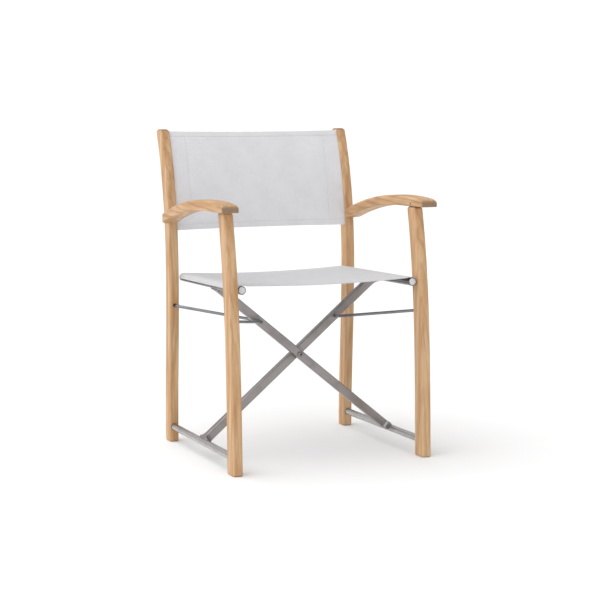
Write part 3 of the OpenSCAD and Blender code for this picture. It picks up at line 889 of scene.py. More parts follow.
@dataclass
class SideFrame:
    """One wooden side: two legs, an armrest and its peg."""

    side: Side
    body: str
    shift: float
    edge: float = 4.5 * MM
    levels: int = 22
    hole_gap: float = 0.45 * MM
    keyhole_d: float = 8 * MM
    keyhole_depth: float = 8 * MM
    slot_width: float = 3 * MM
    corner: float = 10 * MM
    arm_edge: float = 7.5 * MM
    nose_steps: tuple[float, ...] = (9, 11, 13.5, 16, 19, 22)
    rear_steps: tuple[float, ...] = (-10, -7, -4.5, -2.5, -1, 0, 1.5, 3, 5, 8)
    peg_depth: float = 1.2 * MM
    peg_gap: float = 0.15 * MM

    def finish(self, piece: Workpiece, stem: str, wood: Timber, extra: Sequence[str] = ()) -> None:
        """Shades a wooden piece, names it, dresses it and fixes it to this side.

        Args:
            piece: The piece.
            stem: Name of its CAD node without the side.
            wood: Its timber.
            extra: Further CAD nodes that it stands for.
        """
        name = self.side.named(stem)
        piece.shade_evenly()
        piece.obj.name = name + "_wood"
        piece.hand_over(wood, "wood", self.body, [name, *extra])

    def span(self, near: float, far: float) -> tuple[float, float]:
        """Two distances from the middle as X values in rising order."""
        ends = sorted((self.side.value * near, self.side.value * far))
        return ends[0], ends[1]

    def build(self) -> None:
        """Models and dresses the side."""
        self.front_leg()
        self.rear_leg()
        self.armrest()
        self.peg()

    def leg(self, stem: str, top: float, face: Callable[[float], float],
            back: Callable[[float], float]) -> Workpiece:
        """A leg drawn up from its foot.

        Args:
            stem: Name without the side.
            top: Height of its top.
            face: Front of the leg at a height.
            back: Rear of the leg at a height.

        Returns:
            The leg with its long edges and ends eased.
        """
        x0, x1 = self.span(LINES.leg_inner_x, LINES.leg_inner_x + LINES.leg_width)
        heights = [top * i / self.levels for i in range(self.levels + 1)]
        stations = [Station(z, x0, x1, face(z), back(z)) for z in heights]
        piece = Workpiece.drawn(self.side.named(stem), Axis.Z, stations)
        low, high = 0.5 * MM, top - 0.5 * MM
        along = runs_along(Axis.Z)

        def weight(edge: bmesh.types.BMEdge) -> float:
            """Full rounding on the long edges and round both ends."""
            if all(v.co.z > high for v in edge.verts):
                return 1.7
            return 1.0 if along(edge) or all(v.co.z < low for v in edge.verts) else 0.0

        piece.ease(self.edge, weight)
        return piece

    def bore(self, piece: Workpiece, node: str, height: float, start: float, depth: float,
             diameter: float) -> None:
        """Drills a blind hole along Y.

        Args:
            piece: The leg.
            node: CAD node whose middle gives the hole's X.
            height: Height of the hole.
            start: Face that it starts from.
            depth: How far it goes in, with its sign.
            diameter: Its diameter.
        """
        low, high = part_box(node)
        x = (low.x + high.x) / 2
        outside = start - math.copysign(5 * MM, depth)
        piece.cut(Workpiece.rod(
            "cutter", Vector((x, outside, height)), Vector((x, start + depth, height)), diameter / 2))

    def sockets(self, piece: Workpiece, face: Callable[[float], float], inward: float) -> None:
        """Drills a leg for its stretcher and its link rod.

        Args:
            piece: The leg.
            face: The drilled face at a height.
            inward: Which way the holes go.
        """
        for stem, depth in (("stretcher", 17 * MM), ("link_bushes", 1.2 * MM)):
            low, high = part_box(self.side.named(stem))
            height = (low.z + high.z) / 2
            diameter = high.z - low.z + 2 * self.hole_gap * (stem == "stretcher")
            self.bore(piece, self.side.named(stem), height, face(height), inward * depth, diameter)

    def front_leg(self) -> None:
        """The front leg, drilled at its rear."""
        piece = self.leg("front_leg", LINES.arm_height, LINES.front_face, LINES.front_back)
        self.sockets(piece, LINES.front_back, -1)
        grain = timber(self.side.named("front_leg"), ALONG_Z, (self.shift, 0.31, 0))
        self.finish(piece, "front_leg", grain)

    def rear_leg(self) -> None:
        """The rear leg and back post, drilled at its front, with the keyhole slot of the back sling."""
        piece = self.leg("rear_leg", LINES.post_height, LINES.rear_face,
                         lambda z: LINES.rear_face(z) + LINES.rear_leg_depth)
        self.sockets(piece, LINES.rear_face, 1)
        self.keyhole(piece)
        grain = timber(self.side.named("rear_leg"), ALONG_Z, (self.shift + 0.4, 0.12, 0.5))
        self.finish(piece, "rear_leg", grain, [self.side.named("arm_dowels")])

    def keyhole(self, piece: Workpiece) -> None:
        """Cuts the slot that holds the sling's edge, open at the top."""
        z0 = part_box("back_sling")[0].z - 5 * MM
        z1 = LINES.post_height + 1 * MM
        heights = [z0 + (z1 - z0) * i / 10 for i in range(11)]
        middle = LINES.leg_inner_x + self.keyhole_depth
        x0, x1 = self.span(LINES.leg_inner_x - 1 * MM, middle)
        half = self.slot_width / 2

        def slot(start: float, end: float) -> list[Station]:
            """Sections of the slot between two X values."""
            return [Station(z, start, end, LINES.back_line(z) - half, LINES.back_line(z) + half)
                    for z in heights]

        piece.cut(Workpiece.drawn("slit", Axis.Z, slot(x0, x1)))
        centre = self.side.value * middle
        foot = Vector((centre, LINES.back_line(z0), z0))
        tunnel = Workpiece.rod(
            "tunnel", Vector((foot.x, foot.y, z0 - 1 * MM)), foot, self.keyhole_d / 2, 20)
        tunnel.draw_out(Axis.Z, slot(centre - half, centre + half))
        piece.cut(tunnel)

    def armrest(self) -> None:
        """The arched armrest, rounded as a straight board and then bent, and drilled for its peg."""
        x0, x1 = self.span(LINES.leg_inner_x, LINES.leg_inner_x + LINES.arm_width)
        start = LINES.y_front + LINES.arm_setback
        end = LINES.rear_face(LINES.arm_height - 30 * MM)
        near = [start + step * MM for step in self.nose_steps]
        reach = end - 14 * MM - start - LINES.nose_length
        run = [start + LINES.nose_length + reach * i / 24 for i in range(25)]
        close = [end + step * MM for step in self.rear_steps]
        stations = [Station(y, x0, x1, 0, LINES.arm_thickness) for y in [start] + near + run + close]
        piece = Workpiece.drawn(self.side.named("armrest"), Axis.Y, stations)
        along = runs_along(Axis.Y)

        def weight(edge: bmesh.types.BMEdge) -> float:
            """Generous rounding above and at the nose, less below."""
            middle = (edge.verts[0].co + edge.verts[1].co) / 2
            upper = middle.z > LINES.arm_thickness / 2
            if along(edge):
                return 1.0 if upper else 0.6
            if middle.y > start + 1 * MM:
                return 0.0
            return 0.7 if abs(middle.z - LINES.arm_thickness / 2) < 1 * MM else (0.9 if upper else 0.4)

        piece.ease(self.arm_edge, weight, 5)
        piece.reshape(self.bend_board)
        self.fit_to_post(piece)
        low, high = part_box(self.side.named("arm_peg"))
        centre = (low + high) / 2
        mouth, floor = (
            Vector((self.side.value * (LINES.leg_inner_x + inset), centre.y, centre.z))
            for inset in (-3 * MM, self.peg_depth))
        piece.cut(Workpiece.rod("cutter", mouth, floor, (high.z - low.z) / 2 + self.peg_gap))
        grain = timber(self.side.named("armrest"), ALONG_Y, (self.shift, 0, 0.21), 0.42)
        self.finish(piece, "armrest", grain)

    def bend_board(self, point: Vector) -> Vector:
        """Where a point of the straight board goes: over the arch, the nose and the rear corner."""
        share = point.z / LINES.arm_thickness
        z = LINES.arm_under(point.y) + share * (LINES.arm_top(point.y) - LINES.arm_under(point.y))
        left = min(self.corner, max(0.0, LINES.rear_face(z) - point.y))
        tuck = self.corner - math.sqrt(self.corner ** 2 - (self.corner - left) ** 2)
        inner = self.side.value * LINES.leg_inner_x
        return Vector((inner + (point.x - inner) * (1 - tuck / LINES.arm_width), point.y, z))

    def fit_to_post(self, piece: Workpiece) -> None:
        """Trims the rear end of the armrest to the face of the back post."""
        z0 = LINES.arm_under(LINES.rear_face(LINES.arm_height))
        z1 = z0 + LINES.arm_thickness
        low, high = (Vector((0, LINES.rear_face(z), z)) for z in (z0, z1))
        normal = (high - low).cross(Vector((1, 0, 0))).normalized()
        normal = normal if normal.y > 0 else -normal
        with piece.editing():
            bpy.ops.mesh.select_all(action="SELECT")
            bpy.ops.mesh.bisect(plane_co=low, plane_no=normal, clear_outer=True, use_fill=True)

    def peg(self) -> None:
        """The end of the peg that pins the leg's tenon."""
        node = self.side.named("arm_peg")
        piece = Workpiece.copy_of(node, node + "_wood")
        piece.smooth()
        piece.hand_over(timber(node, END_GRAIN, (0.2, self.shift, 0.4), 1.0), "wood", self.body, [node])


# ---------------------------------------------------------------- steel frame and fittings


@dataclass(frozen=True)
class Fitting:
    """A hard piece whose CAD shape is right, joined and smoothed to take its finish."""

    node: str
    body: str
    slot: str
    finish: Finish
    angle: float = 30
    roll: float = 0
    about: str = ""

    def build(self) -> None:
        """Copies, rolls, smooths and dresses the fitting."""
        piece = Workpiece.copy_of(self.node, self.node + "_skin")
        if self.roll:
            low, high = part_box(self.about)
            middle = (low + high) / 2
            fall = math.atan((high.z - low.z - LINES.rail_d) / (high.y - low.y))
            turn = Matrix.Rotation(self.roll, 3, Vector((0, math.cos(fall), -math.sin(fall))))
            piece.reshape(lambda point: middle + turn @ (point - middle))
        piece.shade_evenly(self.angle)
        piece.hand_over(self.finish, self.slot, self.body, [self.node])


@dataclass
class ScissorFrame:
    """The crossed bars with their stretchers, seat rails, pivot and link rods."""

    bar_angle: float = math.radians(39.579)
    lower_arm: float = 349.66 * MM
    upper_arm: float = 314.24 * MM
    bar_width: float = 22.5 * MM
    bar_depth: float = 20 * MM
    weld: float = 15 * MM
    stretcher_radius: float = 9.5 * MM
    rail_radius: float = 11 * MM
    flare_start: float = 10.5 * MM
    flare_steps: tuple[float, ...] = (0, 1.5, 3, 5, 8, 11.5, 15)
    bar_edge: float = 2.6 * MM
    lower_inset: float = 5 * MM
    upper_inset: float = 7 * MM
    slot_lift: float = math.radians(40)
    cap_radius: float = 8.9 * MM
    cap_inset: float = 1.4 * MM
    cap_length: float = 12 * MM
    dome_steps: tuple[tuple[float, float], ...] = ((0.5, 0.55), (0.9, 0.4), (2.4, 0.35), (3.0, 0.1))
    socket_shade_radius: float = 3.3 * MM

    def fittings(self) -> list[Fitting]:
        """Every fitting of the frame whose CAD shape is kept."""
        made = []
        for place, stretcher_side, rail_side in (
                ("front", Side.RIGHT, Side.LEFT), ("rear", Side.LEFT, Side.RIGHT)):
            body, rail = f"cross_{place}", rail_side.named("seat_rail")
            lift = -rail_side.value * self.slot_lift
            made += [
                Fitting(stretcher_side.named("stretcher"), body, "satin_steel", TUBE),
                Fitting(stretcher_side.named("stretcher_plugs"), body, "nylon", NYLON),
                Fitting(rail, body, "satin_steel", RAIL, roll=lift, about=rail),
                Fitting(rail_side.named("seat_keder"), body, "nylon", NYLON, roll=lift, about=rail),
                Fitting(f"pivot_bush_{place}", body, "nylon", BLACK_NYLON),
            ]
        for node in ("pivot_bolt", "pivot_nut", "pivot_washers"):
            made.append(Fitting(node, "cross_front", "satin_steel", BOLT_STEEL))
        made.append(Fitting("pivot_spacer", "cross_front", "nylon", BLACK_NYLON))
        for side in Side:
            for place in ("front", "rear"):
                made.append(Fitting(
                    side.named(f"link_rod_{place}"), side.named("link"), "polished_steel", POLISHED))
            made.append(Fitting(side.named("link_bushes"), side.named("side"), "nylon", BLACK_NYLON))
            made.append(Fitting(side.named("back_keder"), side.named("side"), "nylon", NYLON))
        return made

    def bar(self, place: str, lean: int) -> None:
        """A flat-sided tube that flares into its welds at both ends.

        Args:
            place: Whether it passes in front or behind.
            lean: 1 where it rises to the right, -1 where it rises to the left.
        """
        node = f"cross_bar_{place}"
        low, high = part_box(f"pivot_bush_{place}")
        pivot = (low + high) / 2
        bottom, top = -self.lower_arm + self.lower_inset, self.upper_arm - self.upper_inset
        ends = [(bottom + self.flare_start - self.lower_inset + f * MM, f * MM)
                for f in self.flare_steps]
        tops = [(top - self.flare_start + self.upper_inset - f * MM, f * MM)
                for f in reversed(self.flare_steps)]
        half = self.bar_depth / 2
        stations = []
        for at, away in [(bottom, 0)] + ends + tops + [(top, 0)]:
            grow = self.weld - math.sqrt(self.weld ** 2 - (self.weld - away) ** 2)
            side = min(self.coped(at + self.lower_arm, self.stretcher_radius),
                       self.coped(self.upper_arm - at, self.rail_radius))
            stations.append(Station(at, -side, side, -half - grow, half + grow))
        piece = Workpiece.drawn(node + "_tube", Axis.Z, stations)

        def lengthwise(edge: bmesh.types.BMEdge) -> float:
            """1 for an edge that leads up the bar."""
            return float(abs(edge.verts[0].co.z - edge.verts[1].co.z) > TOUCH)

        piece.ease(self.bar_edge, lengthwise, 3)
        lean_angle = lean * (math.pi / 2 - self.bar_angle)
        turn = Matrix.Rotation(lean_angle, 3, "Y")
        piece.reshape(lambda point: pivot + turn @ point)
        piece.shade_evenly(40)
        finish = satin(f"bar_{place}", (0, -lean_angle, 0))
        piece.hand_over(finish, "satin_steel", f"cross_{place}", [node])

    def coped(self, reach: float, radius: float) -> float:
        """Half the width of a bar near a tube, which it narrows to meet.

        Args:
            reach: Distance to the tube's middle line.
            radius: Radius of the tube.

        Returns:
            Half the bar's width there.
        """
        share = min(1.0, max(0.0, (reach - 0.5 * radius) / (0.7 * radius)))
        narrow = 0.82 * radius
        return narrow + (self.bar_width / 2 - narrow) * math.sqrt(1 - (1 - share) ** 2)

    def socket(self) -> None:
        """A dark hex disc on the head of the pivot bolt, painted shade that stands for the inside of its
        key socket.
        """
        low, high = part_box("pivot_bolt")
        x, z = (low.x + high.x) / 2, (low.z + high.z) / 2
        piece = Workpiece.rod(
            "pivot_socket_shade_disc", Vector((x, low.y - 0.06 * MM, z)), Vector((x, low.y + 1 * MM, z)),
            self.socket_shade_radius, 6)
        with piece.editing():
            piece.pick(lambda f: f.normal.y < -0.9)
            bpy.ops.mesh.inset(thickness=0.5 * MM, depth=-0.7 * MM)
        piece.smooth()
        piece.hand_over(PAINTED_SOCKET_SHADE, "nylon", "cross_front")

    def rail_caps(self, side: Side, body: str) -> None:
        """The domed plugs in both ends of a seat rail.

        Args:
            side: The rail's side.
            body: The body that carries it.
        """
        node = side.named("rail_caps")
        rail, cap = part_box(side.named("seat_rail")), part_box(node)
        x = (rail[0].x + rail[1].x) / 2
        front, rear = rail[1].z - LINES.rail_d / 2, rail[0].z + LINES.rail_d / 2
        made = []
        for y, z, way in ((cap[0].y, front, 1), (cap[1].y, rear, -1)):
            start = Vector((x, y + way * self.cap_inset, z))
            end = start + Vector((0, way * self.cap_length, 0))
            plug = Workpiece.rod(node, start, end, self.cap_radius, 40)
            with plug.editing():
                plug.pick(lambda f: f.normal.y * way < -0.9)
                for thickness, depth in self.dome_steps:
                    bpy.ops.mesh.inset(thickness=thickness * MM, depth=depth * MM)
            made.append(plug)
        made[0].activate()
        made[1].obj.select_set(True)
        bpy.ops.object.join()
        made[0].obj.name = node + "_domed"
        made[0].smooth(50)
        made[0].hand_over(NYLON, "nylon", body, [node])

    def build(self) -> None:
        """Models and dresses every fitting."""
        for fitting in self.fittings():
            fitting.build()
        self.bar("front", -1)
        self.bar("rear", 1)
        self.socket()
        self.rail_caps(Side.LEFT, "cross_front")
        self.rail_caps(Side.RIGHT, "cross_rear")


# ---------------------------------------------------------------- slings


LINE_GAP = 0.9 * MM
STITCH_INSET = 1.6 * MM
THREAD_RISE = 0.05 * MM
TURNED_EDGE = 0.9 * MM
TURNED_STEP = 0.95 * MM

def smooth_step(value: float, low: float, high: float) -> float:
    """0 below a range, 1 above it, and a smooth change between."""
    t = min(1.0, max(0.0, (value - low) / (high - low)))
    return t * t * (3 - 2 * t)


def groove(distance: float, width: float) -> float:
    """1 on a line, fading to 0 at a distance from it."""
    return math.exp(-(distance / width) ** 2)


class SlingCloth:
    """A sling drawn from a surface function on a grid, with a UV map in metres."""

    def __init__(self, name: str, across: Sequence[float], along: Sequence[float],
                 surface: Callable[[float, float], Vector]) -> None:
        """Takes the grid lines and the surface.

        Args:
            name: Name of the piece.
            across: Distances along the cloth's first direction.
            along: Distances along its second direction.
            surface: Point of the cloth's middle for two distances.
        """
        self.name = name
        self.across = list(across)
        self.along = list(along)
        self.surface = surface

    def mesh(self, thickness: float) -> Workpiece:
        """The cloth as a thin closed sheet.

        Args:
            thickness: Thickness of the cloth.

        Returns:
            The sheet.
        """
        rows, columns = len(self.along), len(self.across)
        points = [self.surface(u, v) for v in self.along for u in self.across]
        faces = [
            (r * columns + c, r * columns + c + 1, (r + 1) * columns + c + 1, (r + 1) * columns + c)
            for r in range(rows - 1) for c in range(columns - 1)
        ]
        piece = Workpiece.from_faces(
            self.name, points, faces,
            lambda vertex: (self.across[vertex.index % columns], self.along[vertex.index // columns]))
        piece.modify("SOLIDIFY", thickness=thickness, offset=0, use_even_offset=True)
        piece.smooth(50)
        return piece


def lines_between(start: float, end: float, count: int, marks: Sequence[float], near: float) -> list[float]:
    """Grid lines, even but for closer ones at marked lines.

    Args:
        start: First line.
        end: Last line.
        count: Even steps.
        marks: Lines that get neighbours.
        near: Distance to the neighbours.

    Returns:
        The lines in order.
    """
    even = [start + (end - start) * i / count for i in range(count + 1)]
    kept = [x for x in even if all(abs(x - m) > 2.6 * near for m in marks) or x in (start, end)]
    close = [m + near * k for m in marks for k in (-2, -1, 0, 1, 2)]
    return sorted(kept + [x for x in close if start < x < end])


def stitch_row(
    surface: Callable[[float, float], Vector], start: tuple[float, float],
    end: tuple[float, float], lift: float, pitch: float = 3.4 * MM,
) -> list[tuple[Vector, Vector, Vector]]:
    """Places of the stitches along a straight line of a cloth.

    Args:
        surface: Point of the cloth for two distances.
        start: First end of the row, on the cloth.
        end: Last end of the row.
        lift: Distance of the stitches from the cloth's middle, with its sign.
        pitch: Distance between stitches.

    Returns:
        Each stitch's place, direction and outward normal.
    """
    a, b = Vector(start), Vector(end)
    count = max(1, int((b - a).length / pitch))
    placed = []
    for i in range(count):
        u, v = a + (b - a) * (i + 0.5) / count
        here = surface(u, v)
        du = surface(u + 0.5 * MM, v) - here
        dv = surface(u, v + 0.5 * MM) - here
        normal = du.cross(dv).normalized()
        way = (surface(*(Vector((u, v)) + (b - a).normalized() * 0.5 * MM)) - here).normalized()
        placed.append((here + normal * lift, way, normal))
    return placed


def sew(name: str, places: Sequence[tuple[Vector, Vector, Vector]], length: float = 2.7 * MM,
        radius: float = 0.28 * MM) -> Workpiece:
    """One stitch modelled once and copied to every place.

    Args:
        name: Name of the piece.
        places: Each stitch's place, direction and normal.
        length: Length of a stitch.
        radius: Radius of the thread.

    Returns:
        All the stitches as one piece.
    """
    stitch = Workpiece.rod("stitch", Vector((0, 0, 0)), Vector((length, 0, 0)), radius, 6)
    with stitch.editing():
        for end in (0, length):
            stitch.pick(lambda f: abs(f.calc_center_median().x - end) < TOUCH)
            bpy.ops.mesh.inset(thickness=radius * 0.45, depth=radius * 0.5)
    base = np.array([v.co for v in stitch.obj.data.vertices], float) - np.array([length / 2, 0, 0])
    faces = [tuple(p.vertices) for p in stitch.obj.data.polygons]
    bpy.data.objects.remove(stitch.obj)
    points: list[np.ndarray] = []
    all_faces: list[tuple[int, ...]] = []
    for i, (here, way, normal) in enumerate(places):
        turn = np.array([way, normal.cross(way), normal], float).T
        points.append(base @ turn.T + np.array(here))
        all_faces += [tuple(k + i * len(base) for k in face) for face in faces]
    piece = Workpiece.from_faces(
        name, np.concatenate(points).tolist(), all_faces, lambda vertex: (vertex.co.x, vertex.co.z))
    piece.smooth(60)
    return piece


def turned_edge(
    name: str, surface: Callable[[float, float], Vector], across: Sequence[float],
    along: Sequence[float], away: Vector, finish: Woven, body: Optional[str],
) -> bpy.types.Object:
    """An edge of a sling that is turned over against its hidden face.

    Args:
        name: Name of the piece.
        surface: Point of the sling's middle for two distances.
        across: Grid lines along the cloth's first direction.
        along: Grid lines along its second direction.
        away: Shift from the sling to the turned layer.
        finish: The cloth's finish.
        body: The body that carries it, or None where the caller settles that.

    Returns:
        The turned strip.
    """
    strip = SlingCloth(name, across, along, lambda u, v: surface(u, v) + away).mesh(TURNED_EDGE)
    return strip.hand_over(finish, "mesh", body)


@dataclass
class BackSling:
    """The back sling: one cloth with a pocket at each post and a hem above and below."""

    hem: float = 15 * MM
    pocket: float = 47 * MM
    waist: float = 2.6 * MM
    belly: float = 2.0 * MM
    tuck: float = 5.5 * MM
    rise: float = 6 * MM
    lower: float = 3 * MM

    def __post_init__(self) -> None:
        """Places the sling from its CAD solid."""
        low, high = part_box("back_sling")
        self.z0, self.z1 = low.z - self.lower, high.z + self.rise
        self.half = LINES.leg_inner_x + self.tuck
        self.seam_x = LINES.leg_inner_x - self.pocket

    def surface(self, u: float, v: float) -> Vector:
        """Middle of the cloth at a distance across and a share of the height."""
        middle = 1 - (u / LINES.leg_inner_x) ** 2
        height = self.z1 - self.z0
        bottom = self.z0 + self.waist * middle
        top = self.z1 - self.waist * middle
        z = bottom + (top - bottom) * v / height
        pull = math.sin(math.pi * v / height)
        seams = groove(abs(u) - self.seam_x, 1.2 * MM)
        rows = groove(v - self.hem, 1.2 * MM) + groove(height - self.hem - v, 1.2 * MM)
        y = LINES.back_line(z) + self.belly * max(0, middle) * pull + 0.8 * MM * (seams + rows)
        return Vector((u, y, z))

    def build(self) -> None:
        """Models and dresses the sling, its hems and its seams."""
        height = self.z1 - self.z0
        across = lines_between(-self.half, self.half, 56, (-self.seam_x, self.seam_x), LINE_GAP)
        along = lines_between(0, height, 30, (self.hem, height - self.hem), LINE_GAP)
        cloth = SlingCloth("back_sling_cloth", across, along, self.surface).mesh(LINES.sling_thickness)
        main = cloth.hand_over(BACK_CLOTH, "mesh", "side_left", ["back_sling"])
        turned = [self.fold("top", (-self.half, self.half), (height - self.hem, height)),
                  self.fold("bottom", (-self.half, self.half), (0, self.hem)),
                  self.fold("left", (-self.half, -self.seam_x), (self.hem, height - self.hem)),
                  self.fold("right", (self.seam_x, self.half), (self.hem, height - self.hem))]
        rows = []
        reach = LINES.leg_inner_x
        for face, extra in ((-1, THREAD_RISE), (1, TURNED_STEP)):
            lift = -face * (LINES.sling_thickness / 2 + extra)
            for v in (self.hem - STITCH_INSET, height - self.hem + STITCH_INSET):
                rows += stitch_row(self.surface, (-reach, v), (reach, v), lift)
            for x in (-self.seam_x - STITCH_INSET, self.seam_x + STITCH_INSET):
                rows += stitch_row(self.surface, (x, self.hem), (x, height - self.hem), lift)
        seams = sew("back_sling_stitches", rows).hand_over(THREAD, "mesh", "side_left")
        for piece in (main, seams, *turned):
            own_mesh(piece)

    def fold(self, name: str, across: tuple[float, float], along: tuple[float, float]) -> bpy.types.Object:
        """A turned-over edge behind the cloth.

        Args:
            name: Which edge it is.
            across: Its ends across the sling.
            along: Its ends up the sling.

        Returns:
            The folded strip.
        """
        columns = max(2, int((across[1] - across[0]) / (9 * MM)))
        rows = max(2, int((along[1] - along[0]) / (5 * MM)))
        return turned_edge(
            f"back_sling_fold_{name}", self.surface,
            [across[0] + (across[1] - across[0]) * i / columns for i in range(columns + 1)],
            [along[0] + (along[1] - along[0]) * i / rows for i in range(rows + 1)],
            Vector((0, TURNED_STEP, 0)), BACK_CLOTH, "side_left")


@dataclass
class SeatSling:
    """The seat sling: it leaves a slot in each rail, goes round it and sags between them."""

    hem: float = 15 * MM
    seam: float = 4 * MM
    waist: float = 3.0 * MM
    crease: float = 0.9 * MM
    rail_clearance: float = 12 * MM
    creases: tuple[tuple[float, float, float, float, float, float], ...] = (
        (-0.238, -0.215, 0.235, 0.200, 1.0, 2.2), (0.238, -0.215, 0.05, -0.06, 0.7, 4),
        (-0.238, 0.205, -0.07, 0.07, 0.6, 4))

    def __post_init__(self) -> None:
        """Places the sling from the rails and its CAD solid."""
        low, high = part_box("seat_rail_right")
        self.mid_y = (low.y + high.y) / 2
        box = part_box("seat_sling")
        self.half_length = (box[1].y - box[0].y) / 2
        self.radius = LINES.rail_d / 2 + LINES.sling_gap + LINES.sling_thickness / 2
        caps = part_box("rail_caps_right")
        self.tilt = math.atan(LINES.rail_fall / (caps[1].y - caps[0].y))
        self.turn = math.radians(90 + LINES.seat_slot_angle)
        self.arc = self.radius * self.turn
        self.total = 2 * self.arc + 2 * LINES.rail_x

    def outline(self, s: float) -> tuple[float, float]:
        """A point of the sling's section at a distance along it, from the left slot to the right one.

        Args:
            s: Distance along the section.

        Returns:
            X, and height over the line of the rails' middles.
        """
        far = self.total / 2
        s = min(max(s, -far), far)
        side = math.copysign(1, s)
        inner = abs(s)
        if inner <= LINES.rail_x:
            return s, self.radius - LINES.seat_sag * (1 - (s / LINES.rail_x) ** 2)
        angle = (inner - LINES.rail_x) / self.radius
        return (side * (LINES.rail_x + self.radius * math.sin(angle)), self.radius * math.cos(angle))

    def surface(self, u: float, v: float) -> Vector:
        """Middle of the cloth at a distance from the middle of the seat, across and along."""
        x, z = self.outline(u)
        middle = max(0.0, 1 - (x / LINES.rail_x) ** 2)
        share = v / self.half_length
        y = v - self.waist * middle * share ** 3
        wrinkle = self.wrinkles(x, y) * smooth_step(LINES.rail_x - abs(x), 0, 30 * MM)
        z += wrinkle - 0.3 * MM * self.seams(u, v)
        return Vector((x, self.mid_y + y * math.cos(self.tilt) + z * math.sin(self.tilt),
                       LINES.seat_height + z * math.cos(self.tilt) - y * math.sin(self.tilt)))

    def seams(self, u: float, v: float) -> float:
        """How deep the stitching draws the cloth in."""
        edge = self.half_length - self.hem
        return groove(abs(v) - edge, 1.3 * MM) + groove(abs(u) - LINES.rail_x + self.seam, 1.3 * MM)

    def wrinkles(self, x: float, y: float) -> float:
        """Height of the tension creases that run in from the corners."""
        total = 0.0
        for x0, y0, x1, y1, size, decay in self.creases:
            start, way = np.array((x0, y0)), np.array((x1 - x0, y1 - y0))
            length = float(np.hypot(*way))
            way = way / length
            away = np.array((x, y)) - start
            along = float(away @ way) / length
            off = float(away[0] * way[1] - away[1] * way[0])
            if -0.1 < along < 1.1:
                fade = math.exp(-decay * max(0.0, along))
                ridge = groove(off, 7 * MM) - 0.6 * groove(off - 13 * MM, 10 * MM)
                total += size * self.crease * fade * ridge
        return total

    def build(self) -> None:
        """Models and dresses the sling, its hems and its seams."""
        far = self.total / 2
        edge = self.half_length - self.hem
        seam_x = LINES.rail_x - self.seam
        across = lines_between(-far, far, 84, (-seam_x, seam_x), LINE_GAP)
        along = lines_between(-self.half_length, self.half_length, 60, (-edge, edge), LINE_GAP)
        cloth = SlingCloth("seat_sling_cloth", across, along, self.surface).mesh(LINES.sling_thickness)
        main = cloth.hand_over(SHADED_SEAT_CLOTH, "mesh", None, ["seat_sling"])
        turned = [self.fold("front", -self.half_length, -edge), self.fold("rear", edge, self.half_length)]
        rows = []
        seat = LINES.rail_x - self.rail_clearance
        reach = self.half_length - 2 * MM
        above = LINES.sling_thickness / 2 + THREAD_RISE
        for lift in (above, -LINES.sling_thickness / 2 - TURNED_STEP):
            for v in (-edge - STITCH_INSET, edge + STITCH_INSET):
                rows += stitch_row(self.surface, (-seat, v), (seat, v), lift)
        for u in (-seam_x, seam_x):
            rows += stitch_row(self.surface, (u, -reach), (u, reach), above)
        seams = sew("seat_sling_stitches", rows).hand_over(THREAD, "mesh", None)
        for piece in (main, seams, *turned):
            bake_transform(piece)

    def fold(self, name: str, start: float, end: float) -> bpy.types.Object:
        """A turned-under edge below the cloth.

        Args:
            name: Which edge it is.
            start: Where it starts along the seat.
            end: Where it ends.

        Returns:
            The folded strip.
        """
        reach = LINES.rail_x - self.rail_clearance
        return turned_edge(
            f"seat_sling_fold_{name}", self.surface, [reach * (i / 28 - 1) for i in range(57)],
            [start + (end - start) * i / 3 for i in range(4)],
            Vector((0, 0, -TURNED_STEP)), SHADED_SEAT_CLOTH, None)


# ---------------------------------------------------------------- studio


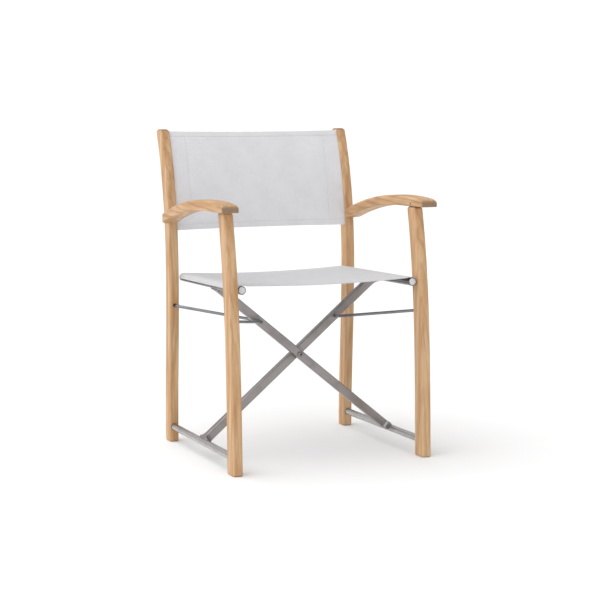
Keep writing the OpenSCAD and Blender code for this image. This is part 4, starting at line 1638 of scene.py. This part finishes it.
@dataclass(frozen=True)
class Studio:
    """Floor, lights and camera."""

    camera_at: Triple = (-1.6739, -3.8254, 0.8856)
    camera_way: Triple = (0.4038, 0.9077, -0.1141)
    roll: float = math.radians(-0.29)
    lens: float = 92.54
    sky: float = 0.5
    backdrop: float = 1.1

    def build(self) -> None:
        """Sets up the studio."""
        self.floor()
        self.lights()
        self.camera()
        bpy.context.scene.view_settings.view_transform = "Standard"

    def floor(self) -> None:
        """A plain pale floor that reaches past the camera's view."""
        Workpiece.clear_selection()
        bpy.ops.mesh.primitive_plane_add(size=400, location=(0, 0, 0))
        ground = Workpiece(bpy.context.object, "studio_floor")
        ground.settle()
        ground.obj.data.materials.append(Backdrop("studio_floor", (0.95, 0.95, 0.95)).material())

    def lights(self) -> None:
        """An even sky, a broad soft light from the upper left and a weak one behind."""
        world = bpy.data.worlds.new("studio_sky")
        world.use_nodes = True
        bpy.context.scene.world = world
        wires = Wiring(world.node_tree)
        world.node_tree.nodes.clear()
        glow, seen = (
            wires.add("ShaderNodeBackground", {"Color": (1, 1, 1, 1), "Strength": strength}).outputs[0]
            for strength in (self.sky, self.backdrop)
        )
        eye = wires.add("ShaderNodeLightPath").outputs["Is Camera Ray"]
        both = wires.add("ShaderNodeMixShader", {0: eye, 1: glow, 2: seen}).outputs[0]
        wires.add("ShaderNodeOutputWorld", {"Surface": both})
        for name, way, strength, softness in (
                ("broad_light", (1.25, 0.2, -1.9), 2.15, 100), ("back_light", (0.5, -1.2, -1.4), 0.4, 90)):
            light = bpy.data.lights.new(name, "SUN")
            light.energy = strength
            light.angle = math.radians(softness)
            in_scene(name, light).rotation_euler = Vector(way).to_track_quat("-Z", "Y").to_euler()

    def camera(self) -> None:
        """A long lens at the height of the back posts."""
        data = bpy.data.cameras.new("camera")
        data.lens = self.lens
        data.sensor_width = 36
        camera = in_scene("camera", data)
        look = Vector(self.camera_way).to_track_quat("-Z", "Y").to_matrix()
        turn = look @ Matrix.Rotation(self.roll, 3, "Z")
        camera.matrix_world = Matrix.Translation(self.camera_at) @ turn.to_4x4()
        bpy.context.scene.camera = camera


def main() -> None:
    """Builds the chair and its studio."""
    Studio().build()
    SideFrame(Side.LEFT, "side_left", 0.13).build()
    SideFrame(Side.RIGHT, "side_right", 0.71).build()
    ScissorFrame().build()
    BackSling().build()
    SeatSling().build()
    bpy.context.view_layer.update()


if __name__ == "__main__":
    main()
